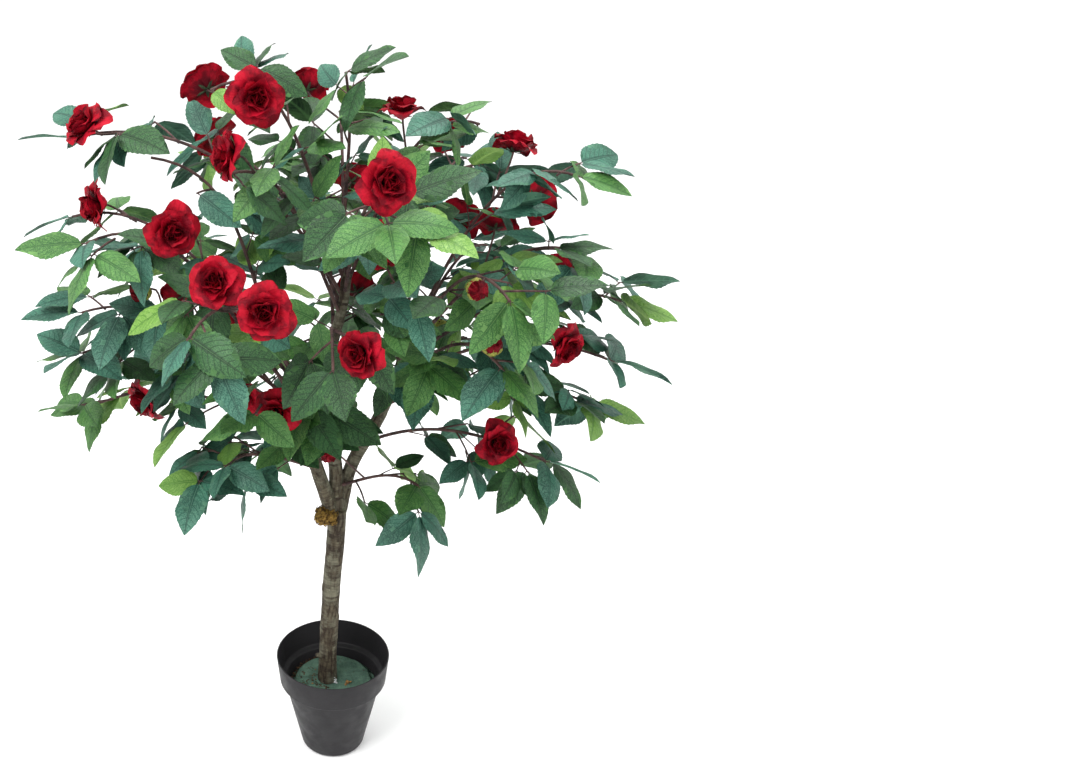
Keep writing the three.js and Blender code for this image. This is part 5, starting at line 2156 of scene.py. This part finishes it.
@dataclass
class Fill:
    """The foam in the pot, its raised plug, and what lies on it.

    Its top crumbles by up to rough, but not nearer to the trunk than still.
    """

    sizes: FoamSizes = FOAM
    sides: int = 96
    rough: float = 1.5
    still: float = 21.0
    trunk_at: Pair = (-9.4, 0.0)
    stretches: tuple[Pair, ...] = ((0.8, 1.5), (0.7, 1.1), (0.7, 1.0))

    def foam_mesh(self) -> Mesh:
        """The foam, with a crumbling top."""
        s = self.sizes
        shelf = s.top - s.plug_height
        foot = POT.floor + SEAT_GAP
        edge = POT.inner_radius(shelf) - SEAT_GAP
        wall = [(POT.inner_radius(foot) - SEAT_GAP, foot, 0), (edge, shelf, 0.8)]
        plug = [(s.plug_radius, shelf, 1.0), (s.plug_radius, s.top, s.edge_round)]
        outline = rounded([(0, foot, 0), *wall, *plug, (0, s.top, 0)], 3)[:-1]
        radius = outline[-1][0]
        rings = [(radius * (1 - k / 20), s.top) for k in range(1, 20)]
        middle = [(lerp(edge, s.plug_radius, k / 4), shelf) for k in range(1, 4)]
        index = next(i for i, (r, z) in enumerate(outline) if z >= shelf - 0.01 and r < edge - 0.5)
        profile = [*outline[:index], *middle, *outline[index:], *rings, (0, s.top)]
        mesh = lathe("foam_mass", profile, self.sides)
        self.roughen(mesh)
        mesh.update()
        return mesh

    def roughen(self, mesh: Mesh) -> None:
        """Crumbles the top and the plug's edge, but not under the trunk."""
        shelf = (self.sizes.top - self.sizes.plug_height) * MM
        centre = Vector((self.trunk_at[0] * MM, self.trunk_at[1] * MM, 0))
        for vertex in mesh.vertices:
            co = vertex.co
            if co.z < shelf - 0.0005 or (co.xy - centre.xy).length < self.still * MM:
                continue
            lump = noise.fractal(co * 70, 0.6, 2.2, 4)
            out = Vector((co.x, co.y, 0)).normalized()
            on_side = shelf + 0.0012 < co.z < self.sizes.top * MM - 0.0005
            edge = co.xy.length > (POT.inner_radius(self.sizes.top - self.sizes.plug_height) - 2) * MM
            if on_side:
                vertex.co = co + out * self.rough * MM * min(0.0, lump - 0.2)
            elif not edge:
                vertex.co = co + UP_VECTOR * self.rough * MM * min(0.1, lump - 0.15)

    def crumb_shapes(self) -> list[Mesh]:
        """A few small lumps with uneven faces."""
        shapes: list[Mesh] = []
        for n in range(4):
            random = RandomStream(SEEDS.crumb_shapes + n)
            work = bmesh.new()
            bmesh.ops.create_icosphere(work, subdivisions=1, radius=1.0)
            for vertex in work.verts:
                vertex.co *= random.between(0.6, 1.1)
                vertex.co.z *= 0.62
            mesh = bpy.data.meshes.new(f"crumb_{n}")
            work.to_mesh(mesh)
            work.free()
            shapes.append(mesh)
        return shapes

    def scatter_crumbs(self, name: str, spots: Iterable[Sequence[float]], tree: NodeTree,
            finish: CrumbFinish, seed: int) -> None:
        """Strews crumbs.

        Args:
            name: the name of the piece.
            spots: place and size of every crumb, in millimetres.
            tree: the scatter tree.
            finish: their finish.
            seed: the seed of their turns.
        """
        random = RandomStream(seed)
        crumbs = Scatter(name, self.crumb_shapes())
        for x, y, z, size in spots:
            spin = Matrix.Rotation(random.between(0, 6.28), 3, "Z")
            turn = spin @ Matrix.Rotation(random.between(-0.5, 0.5), 3, "X")
            wide, deep, high = (size * random.between(*span) * MM for span in self.stretches)
            shape = int(random.between(0, 3.99))
            crumbs.put(np.array([x, y, z]), np.array(turn.transposed()), (wide, deep, high), shape)
        declare(crumbs.build(tree, finish.make()), Slot.FOAM, [])

    def soil_spots(self) -> list[tuple[float, float, float, float]]:
        """Soil crumbs: thick in the ring beside the plug at the left, sparse on the plug."""
        random = RandomStream(SEEDS.soil)
        top = self.sizes.top
        spots: list[tuple[float, float, float, float]] = []
        for patch in (
            SoilPatch(230, (100, 275), (self.sizes.plug_radius + 2.2, 72), (1.2, 2.6),
                      top - self.sizes.plug_height, lift=(0.4, 9.0)),
            SoilPatch(60, (140, 250), (40, 62), (0.8, 2.0), top - 0.4),
            SoilPatch(44, (150, 275), (19.5, 27), (0.8, 2.1), top + 0.3, middle=self.trunk_at[0]),
            SoilPatch(60, (0, 360), (30, 58), (0.4, 1.0), top),
        ):
            for _ in range(patch.count):
                angle = math.radians(random.between(*patch.degrees))
                radius = random.between(*patch.reach)
                height = patch.height + (random.between(*patch.lift) if patch.lift else 0)
                spots.append((patch.middle + radius * math.cos(angle), radius * math.sin(angle), height,
                              random.between(*patch.sizes)))
        return spots

    def build(self, tree: NodeTree) -> None:
        """Makes the foam, the soil and bark bits on it, and the glue at the trunk's foot.

        Args:
            tree: the scatter tree.
        """
        mesh = self.foam_mesh()
        mesh.materials.append(GREEN_FOAM.make())
        declare(new_object("foam_mass", mesh), Slot.FOAM, ["foam_fill"])
        self.scatter_crumbs("soil_crumbs", self.soil_spots(), tree, SOIL, SEEDS.soil_turns)
        top = self.sizes.top
        bark_bits = [
            (24, -12, top + 2.4, 4.2), (29, -10, top + 1.4, 2.6), (21, -17, top + 1.2, 2.2),
            (-34, -14, top + 1.2, 2.4), (-30, 22, top + 1.0, 2.0),
        ]
        self.scatter_crumbs("bark_bits", bark_bits, tree, BARK_BITS, SEEDS.bark_turns)
        glue_beads = [(4.6 + 1.3 * math.cos(2.4 * k) - 0.2 * k, -12.6 + 1.0 * math.sin(2.4 * k) + 0.2 * k,
                       top + 1.0 + 1.5 * k, 2.9 - 0.25 * k) for k in range(8)]
        self.scatter_crumbs("glue_beads", glue_beads, tree, GLUE, SEEDS.glue_turns)


@dataclass(frozen=True)
class Knot:
    """A swelling on a limb: which limb, how far along, at what angle, how wide and how high."""

    limb: str
    share: float
    degrees: float
    width: float
    height: float


KNOTS = (
    Knot("trunk", 0.2, 250, 7, 1.5), Knot("trunk", 0.38, 20, 8, 2.0), Knot("trunk", 0.55, 200, 9, 1.8),
    Knot("trunk", 0.7, 300, 7, 1.6), Knot("trunk", 0.86, 100, 8, 1.8), Knot("left", 0.45, 240, 5, 1.2),
    Knot("centre", 0.3, 290, 5, 1.3), Knot("centre", 0.62, 60, 5, 1.1), Knot("right", 0.4, 310, 5, 1.3),
    Knot("right", 0.75, 120, 4, 1.0),
)


@dataclass
class Wood:
    """The trunk and its three boughs as one piece of wood, with a stub where a branch broke off.

    A limb has so many rings and sides, and its grain is read at so many places along it. The grain
    of one limb starts apart from the next one's, and a block is how many points are placed at a time.
    """

    limbs: dict[str, Limb]
    cut: float = 126.3
    trunk_end: float = 0.975
    voxel: float = 1.35
    ridge: float = 0.75
    sides: int = 40
    rings: int = 44
    places: int = 90
    block: int = 4000
    apart: float = 700.0
    stub: tuple[Triple, Triple] = ((-10.5, -3, 172), (-27.5, -11, 184))
    stub_radii: Pair = (5.2, 3.6)
    stub_sides: int = 20
    stub_rings: int = 6

    def tube(self, points: Array, radii: Sequence[float], sides: int, offset: int
             ) -> tuple[list[Array], list[tuple[int, ...]]]:
        """A round tube through points.

        Args:
            points: its centre line.
            radii: its radius at every point.
            sides: how many sides.
            offset: the index of its first point.

        Returns:
            Its points and faces.
        """
        ways = np.gradient(points, axis=0)
        out: list[Array] = []
        for point, way, radius in zip(points, ways, radii):
            first, second = limb_axes(way)
            out += [point + radius * (first * math.cos(a) + second * math.sin(a)) for a in turns(sides)]
        faces = [tuple(i + offset for i in face) for face in ring_faces(len(points), sides)]
        return out, faces

    def raw_mesh(self) -> Mesh:
        """All limbs as tubes that run into each other."""
        points: list[Array] = []
        faces: list[tuple[int, ...]] = []
        for name, limb in self.limbs.items():
            shares = np.linspace(0.0, self.trunk_end if name == "trunk" else 1.0, self.rings)
            line = limb.curve.points(shares)
            radii = [limb.radius(s) for s in shares]
            if name == "trunk":
                keep = line[:, 2] > self.cut
                line, radii = line[keep], [r for r, k in zip(radii, keep) if k]
                line = np.vstack([[line[0][0], line[0][1], self.cut], line])
                radii.insert(0, radii[0])
            more, more_faces = self.tube(line, radii, self.sides, len(points))
            points += more
            faces += more_faces
        line = np.array([np.array(self.stub[0]) * (1 - t) + np.array(self.stub[1]) * t
                         for t in np.linspace(0, 1, self.stub_rings)])
        girths = np.linspace(*self.stub_radii, self.stub_rings).tolist()
        more, more_faces = self.tube(line, girths, self.stub_sides, len(points))
        points += more
        faces += more_faces
        return mesh_from("wood", np.array(points) * MM, faces)

    def limb_places(self, points: Array) -> Array:
        """Every point's place on its nearest limb: two across it and one along it.

        Args:
            points: the points, in millimetres.

        Returns:
            The places, in millimetres.
        """
        centres: list[Array] = []
        axes: list[Array] = []
        runs: list[float] = []
        girth: list[float] = []
        for n, limb in enumerate(self.limbs.values()):
            shares = np.linspace(0, 1, self.places)
            line = limb.curve.points(shares)
            for point, way, share in zip(line, np.gradient(line, axis=0), shares):
                centres.append(point)
                axes.append(np.array(limb_axes(way)))
                runs.append(share * limb.curve.length + self.apart * n)
                girth.append(limb.radius(share))
        at, frames = np.array(centres), np.array(axes)
        places = np.empty_like(points)
        for start in range(0, len(points), self.block):
            rows = slice(start, start + self.block)
            part = points[rows]
            apart = np.linalg.norm(part[:, None] - at[None], axis=2) - np.array(girth)[None]
            nearest = np.argmin(apart, axis=1)
            away = part - at[nearest]
            places[rows, :2] = np.einsum("pij,pj->pi", frames[nearest], away)
            places[rows, 2] = np.array(runs)[nearest]
        return places

    def knot_height(self, points: Array) -> Array:
        """How far the knots lift every point."""
        lift = np.zeros(len(points))
        for knot in KNOTS:
            limb = self.limbs[knot.limb]
            point = limb.curve.point
            first, second = limb_axes(point(min(1, knot.share + 0.01)) - point(knot.share - 0.01))
            angle = math.radians(knot.degrees)
            out = first * math.cos(angle) + second * math.sin(angle)
            at = point(knot.share) + out * limb.radius(knot.share)
            reach = np.linalg.norm((points - at) * np.array([1, 1, 0.75]), axis=1) / knot.width
            lift += knot.height * np.exp(-2.2 * reach * reach)
        return lift

    def build(self) -> None:
        """Joins the tubes into one skin, gives it bark relief and dresses it."""
        raw = new_object("wood_raw", self.raw_mesh())
        skin = raw.modifiers.new("Join", "REMESH")
        skin.mode = "VOXEL"
        skin.voxel_size = self.voxel * MM
        soft = raw.modifiers.new("Soften", "SMOOTH")
        soft.factor = 0.5
        soft.iterations = 5
        ready = raw.evaluated_get(bpy.context.evaluated_depsgraph_get())
        mesh = bpy.data.meshes.new_from_object(ready)
        mesh.name = "bark_skin"
        bpy.data.objects.remove(raw)
        count = len(mesh.vertices)
        points = np.empty(count * 3)
        mesh.vertices.foreach_get("co", points)
        points = points.reshape(-1, 3) / MM
        normals = np.array([tuple(v.normal) for v in mesh.vertices])
        places = self.limb_places(points)
        relief = np.array([
            noise.fractal(Vector((x * 0.16, y * 0.16, z * 0.022)), 0.7, 2.1, 3)
            + 0.35 * noise.noise(Vector((x * 0.09, y * 0.09, z * 0.34)))
            for x, y, z in places
        ])
        points += normals * (self.ridge * relief + self.knot_height(points))[:, None]
        points[:, 2] = np.maximum(points[:, 2], self.cut)
        mesh.vertices.foreach_set("co", (points * MM).ravel())
        grain = mesh.attributes.new("grain", "FLOAT_VECTOR", "POINT")
        grain.data.foreach_set("vector", (places * MM).astype(np.float32).ravel())
        mesh.update()
        mesh.shade_smooth()
        mesh.materials.clear()
        mesh.materials.append(BARK.make())
        declare(new_object("bark_skin", mesh), Slot.BARK,
            ["trunk", "bough_left", "bough_centre", "bough_right"])


@dataclass
class Moss:
    """Lumps of dried moss: a matted core under loose strands."""

    name: str
    plan: MossPlan
    strands: float = 0.022
    core: float = 0.84

    def core_mesh(self) -> Mesh:
        """The matted core."""
        work = bmesh.new()
        bmesh.ops.create_icosphere(work, subdivisions=4, radius=1.0)
        at, size = Vector(self.plan.at), self.plan.size
        for vertex in work.verts:
            lump = 1 + 0.28 * noise.fractal(vertex.co * 2.3 + at, 0.8, 2.1, 3)
            vertex.co = Vector((at.x + vertex.co.x * size[0] * self.core * lump,
                at.y + vertex.co.y * size[1] * self.core * lump,
                at.z + vertex.co.z * size[2] * self.core * lump)) * MM
        mesh = bpy.data.meshes.new(f"{self.name}_core")
        work.to_mesh(mesh)
        work.free()
        mesh.shade_smooth()
        return mesh

    @staticmethod
    def strand() -> Object:
        """One curled strand that lies along X and bows up."""
        sides, steps = 5, 6
        points: list[Triple] = []
        for i in range(steps + 1):
            t = i / steps
            angle = 2.4 * (t - 0.5)
            centre = (6.5 * math.sin(angle), 2.2 * math.sin(2.1 * angle), 2.6 * (math.cos(angle) - 0.55))
            girth = 0.62 * (1 - 0.6 * abs(2 * t - 1) ** 3)
            points += [(centre[0], centre[1] + girth * math.cos(turn), centre[2] + girth * math.sin(turn))
                       for turn in turns(sides)]
        mesh = mesh_from("strand", np.array(points) * MM, ring_faces(steps + 1, sides))
        return bpy.data.objects.new("strand", mesh)

    @staticmethod
    def strand_tree() -> NodeTree:
        """A tree that strews turned strands over a core."""
        tree, geometry, entry = geometry_tree("Strands",
            [("Density", "NodeSocketFloat"), ("Seed", "NodeSocketInt"), ("Strand", "NodeSocketObject"),
            ("Material", "NodeSocketMaterial")])
        spots = add_node(tree, "DistributePointsOnFaces", Mesh=geometry,
            Density=entry.outputs["Density"], Seed=entry.outputs["Seed"])
        spin = add_node(tree, "FunctionNodeRandomValue", {"data_type": "FLOAT_VECTOR"},
            in0=(-0.45, -0.45, -3.14), in1=(0.45, 0.45, 3.14), Seed=entry.outputs["Seed"])
        turned = add_node(tree, "FunctionNodeRotateRotation", {"rotation_space": "LOCAL"},
            Rotation=spots.outputs["Rotation"], Rotate_By=spin)
        sizes = add_node(tree, "FunctionNodeRandomValue", {"data_type": "FLOAT"}, Seed=entry.outputs["Seed"])
        sizes.inputs[2].default_value, sizes.inputs[3].default_value = 0.6, 1.25
        strand = add_node(tree, "ObjectInfo", Object=entry.outputs["Strand"])
        placed = add_node(tree, "InstanceOnPoints", Points=spots.outputs["Points"],
            Instance=strand.outputs["Geometry"], Rotation=turned, Scale=sizes.outputs[1])
        whole = add_node(tree, "RealizeInstances", Geometry=placed)
        joined = add_node(tree, "JoinGeometry")
        tree.links.new(geometry, joined.inputs[0])
        tree.links.new(whole.outputs[0], joined.inputs[0])
        dressed = add_node(tree, "SetMaterial", Geometry=joined, Material=entry.outputs["Material"])
        finish_tree(tree, dressed.outputs[0])
        return tree

    def build(self, tree: NodeTree, material: Material, seed: int) -> None:
        """Strews the strands and dresses the lump.

        Args:
            tree: the strand tree.
            material: the moss.
            seed: the seed of its strands.
        """
        core = new_object(f"{self.name}_core", self.core_mesh())
        strand = self.strand()
        piece = run_tree(core, tree, f"moss_tuft_{self.name}", Density=self.strands / MM ** 2,
                         Seed=seed, Strand=strand, Material=material)
        bpy.data.objects.remove(strand)
        declare(piece, Slot.MOSS, [f"moss_{self.name}"])


@dataclass
class Foliage:
    """Everything that grows from the boughs: stems, twigs, leaves, blooms and buds."""

    crown: Crown
    nodes: list[str] = field(default_factory=lambda: [f"spray_{plan.name}" for plan in SPRAYS])
    stem_sides: int = 8
    twig_sides: int = 6
    lead_share: float = 0.3
    odd_share: float = 0.15
    stem_points: int = 25
    twig_points: int = 8
    flower_points: int = 9

    @staticmethod
    def bowed(line: BrokenLine, bow: Array, count: int) -> Array:
        """Points of a line that bows a little to one side."""
        shares = [i / count for i in range(count + 1)]
        return np.array([line.point(t) + bow * math.sin(math.pi * t) for t in shares])

    def chains(self) -> tuple[list[tuple[Array, Array]], list[tuple[Array, Array]]]:
        """The centre lines and girths of the stems, and of all thinner twigs.

        Returns:
            The stems' and the twigs'.
        """
        stems: list[tuple[Array, Array]] = []
        twigs: list[tuple[Array, Array]] = []
        random = RandomStream(SEEDS.chains)
        for spray in self.crown.sprays:
            shares = np.linspace(0, 1, self.stem_points)
            stems.append((spray.arch.points(shares),
                          STEM.radii[0] + (STEM.radii[1] - STEM.radii[0]) * shares))
            for twig in spray.twigs:
                bow = (twig.across * random.between(-1, 1) + UP * 0.7) * twig.line.length * STEM.twig_bow
                girths = np.linspace(*STEM.twig_radii, self.twig_points)
                twigs.append((self.bowed(twig.line, bow, self.twig_points - 1), girths))
            for shoot in spray.shoots:
                twigs.append((self.bowed(shoot.line, UP * 0.5, 2), np.array(STEM.fine_radii)))
            for flower in spray.flowers:
                root = flower.at - flower.facing * (flower.sizes.back - 0.4)
                start = flower.line.point(0.0)
                reach = float(np.linalg.norm(root - start))
                bend = root - flower.facing * reach * 0.18
                path = bezier([start, start + (root - start) * 0.35, bend, root])
                radii = (flower.sizes.twig_radius, flower.sizes.twig_tip_radius)
                girths = np.linspace(*radii, self.flower_points)
                twigs.append((path.points(np.linspace(0, 1, self.flower_points)), girths))
            for blade in spray.leaves:
                reach = blade.length * np.array(LEAF.stalk_shares)
                points = blade.base + reach[:, None] * blade.along
                points = points - blade.normal * (reach * reach / blade.length * LEAF.droop)[:, None]
                twigs.append((points, np.array(LEAF.stalk_radii)))
        return stems, twigs

    def deal_tints(self) -> list[tuple[Tint, Blade]]:
        """Deals a tint to every cluster, so that each spray keeps a leading one."""
        dealt: list[tuple[Tint, Blade]] = []
        tints = list(TINT_SHARES)
        for spray in self.crown.sprays:
            random = RandomStream(SEEDS.leaves + SEEDS.tints * spray.number)

            def draw() -> Tint:
                """One tint by its share."""
                mark, total = random.next(), 0.0
                for tint in tints:
                    total += TINT_SHARES[tint]
                    if mark < total:
                        return tint
                return tints[0]

            lead = draw()
            for shoot in (spray.stem, *spray.twigs, *spray.shoots):
                tint = lead if random.next() < self.lead_share else draw()
                for blade in shoot.blades:
                    dealt.append((draw() if random.next() < self.odd_share else tint, blade))
        return dealt

    def build_leaves(self, tree: NodeTree) -> None:
        """Makes one piece of leaves of each tint.

        Args:
            tree: the scatter tree.
        """
        random = RandomStream(SEEDS.leaves)
        masses = {tint: Scatter(f"leaves_{tint.value}", [
            shape.mesh(f"leaf_{tint.value}_{n}") for n, shape in enumerate(LEAF_SHAPES)
        ]) for tint in Tint}
        dealt = self.deal_tints()
        for tint, blade in dealt:
            wide = random.between(0.92, 1.06)
            size = (blade.length * MM, blade.length * MM * wide, blade.length * MM)
            masses[tint].put(blade.base, blade.frame, size, int(random.between(0, len(LEAF_SHAPES) - 0.01)))
        for tint, mass in masses.items():
            finish = LEAF_FINISHES[tint]
            declare(mass.build(tree, finish.upper(), finish.under()), Slot.FOLIAGE, self.nodes)
        LOG.info("%d leaves", len(dealt))

    def put_rings(self, masses: dict[Tone, Scatter], flower: Flower, rings: Sequence[PetalRing],
            random: RandomStream) -> None:
        """Puts the petals of one flower.

        Args:
            masses: the scatter of every tone.
            flower: the flower.
            rings: its rings of petals.
            random: the stream of its unevenness.
        """
        side, other = disc_axes(flower.facing)
        start = random.between(0, 360)
        scale = random.between(0.86, 0.97) if flower.sizes is BLOOM else 1.0
        for n, ring in enumerate(rings):
            for k in range(ring.count):
                turn = start + GOLDEN_ANGLE * n + 360 * k / ring.count + random.between(-1, 1) * ring.jitter
                rise = math.radians(ring.elevation + random.between(-1, 1) * ring.jitter * 0.6)
                azimuth = math.radians(turn)
                radial = side * math.cos(azimuth) + other * math.sin(azimuth)
                along = radial * math.cos(rise) + flower.facing * math.sin(rise)
                normal = flower.facing * math.cos(rise) - radial * math.sin(rise)
                height = ring.height + 0.7 * (k % 2)
                at = flower.at + radial * ring.radius + flower.facing * height
                size = ring.length * scale * random.between(0.9, 1.03) * MM
                masses[ring.tone].put(at, np.array([along, cross(normal, along), normal]), size,
                    ring.shapes[k % len(ring.shapes)])

    def build_flowers(self, tree: NodeTree) -> None:
        """Makes the blooms and buds, one piece for each tone.

        Args:
            tree: the scatter tree.
        """
        masses = {tone: Scatter(tone.value, [
            shape.mesh(f"{tone.value}_{n}") for n, shape in enumerate(shapes)
        ]) for tone, shapes in PETAL_SHAPES.items()}
        for spray in self.crown.sprays:
            random = RandomStream(SEEDS.flowers * (spray.number + 1))
            for flower in spray.flowers:
                self.put_rings(masses, flower, BLOOM_RINGS if flower.sizes is BLOOM else BUD_RINGS, random)
        finishes = {Tone.OUTER: OUTER_PETAL, Tone.INNER: INNER_PETAL, Tone.HEART: HEART_PETAL,
            Tone.CALYX: CALYX, Tone.SCALE: SEPAL}
        for tone, mass in masses.items():
            declare(mass.build(tree, finishes[tone].make()), Slot.FOLIAGE, self.nodes)

    def build(self, tree: NodeTree) -> None:
        """Makes twigs, leaves and flowers.

        Args:
            tree: the scatter tree.
        """
        stems, twigs = self.chains()
        tubes = twig_tree()
        brown = TWIG.make()
        declare(twig_piece("spray_stems", stems, self.stem_sides, tubes, brown), Slot.FOLIAGE, self.nodes)
        declare(twig_piece("spray_twigs", twigs, self.twig_sides, tubes, brown), Slot.FOLIAGE, self.nodes)
        self.build_leaves(tree)
        self.build_flowers(tree)


@dataclass
class Studio:
    """A pale floor, soft lights and the camera."""

    camera_at: Triple = (0.0, -1.740, 1.538)
    camera_tilt: float = 63.45
    lens: float = 43.58
    shift: Pair = (0.190, 0.0056)
    floor_size: float = 40.0

    def floor(self) -> None:
        """A wide matte floor, a little uneven in tone."""
        half = self.floor_size / 2
        mesh = mesh_from("studio_floor", np.array([(x, y, -0.0006) for x, y in (
            (-half, -half), (half, -half), (half, half), (-half, half))]), [(0, 1, 2, 3)], smooth=False)
        f = Finish("studio paper", 0.9, Specular_IOR_Level=0.1)
        tone = f.mix(f.mottle(1.5, 2), srgb(253, 253, 253), srgb(255, 255, 255))
        mesh.materials.append(f.done(tone, f.span(f.mottle(8), 0.86, 0.94)))
        new_object("studio_floor", mesh)

    def light(self, name: str, at: Triple, size: float, watts: float) -> None:
        """A soft square light that looks at the crown.

        Args:
            name: its name.
            at: where it stands, in metres.
            size: its side, in metres.
            watts: its power.
        """
        data = bpy.data.lights.new(name, "AREA")
        data.size = size
        data.energy = watts
        lamp = bpy.data.objects.new(name, data)
        lamp.location = at
        lamp.rotation_euler = (Vector((0, 0, 0.7)) - Vector(at)).to_track_quat("-Z", "Y").to_euler()
        bpy.context.scene.collection.objects.link(lamp)

    def build(self) -> None:
        """Sets up the whole studio."""
        scene = bpy.context.scene
        scene.view_settings.view_transform = "Standard"
        world = bpy.data.worlds.new("Studio")
        world.use_nodes = True
        sky = world.node_tree.nodes["Background"]
        sky.inputs[0].default_value = (1.0, 1.0, 1.0, 1.0)
        sky.inputs[1].default_value = 1.06
        scene.world = world
        self.light("key", (-1.3, -1.5, 2.9), 1.5, 76)
        self.light("fill", (2.2, -1.8, 1.6), 2.0, 20)
        self.light("top", (0.2, 0.9, 3.0), 1.6, 50)
        data = bpy.data.cameras.new("camera")
        data.lens = self.lens
        data.sensor_width = 36.0
        data.shift_x, data.shift_y = self.shift
        camera = bpy.data.objects.new("camera", data)
        camera.location = self.camera_at
        camera.rotation_euler = (math.radians(self.camera_tilt), 0, 0)
        scene.collection.objects.link(camera)
        scene.camera = camera
        self.floor()


def main() -> None:
    """Builds the tree from the pot up."""
    logging.basicConfig(level=logging.INFO, format="%(message)s")
    trunk = Limb(TRUNK)
    boughs = {name: Limb(plan) for name, plan in BOUGHS.items()}
    crown = Crown(boughs, trunk)
    crown.grow()
    LOG.info("%d leaves by the solids' rule", sum(len(s.leaves) for s in crown.sprays))
    crown.grow_finer()
    scatter = scatter_tree()
    Studio().build()
    Pot().build()
    Fill().build(scatter)
    Wood({"trunk": trunk, **boughs}).build()
    strands = Moss.strand_tree()
    moss = MOSS_STRANDS.make()
    for n, (name, plan) in enumerate(MOSS.items()):
        Moss(name, plan).build(strands, moss, SEEDS.moss + n)
    Foliage(crown).build(scatter)


if __name__ == "__main__":
    main()
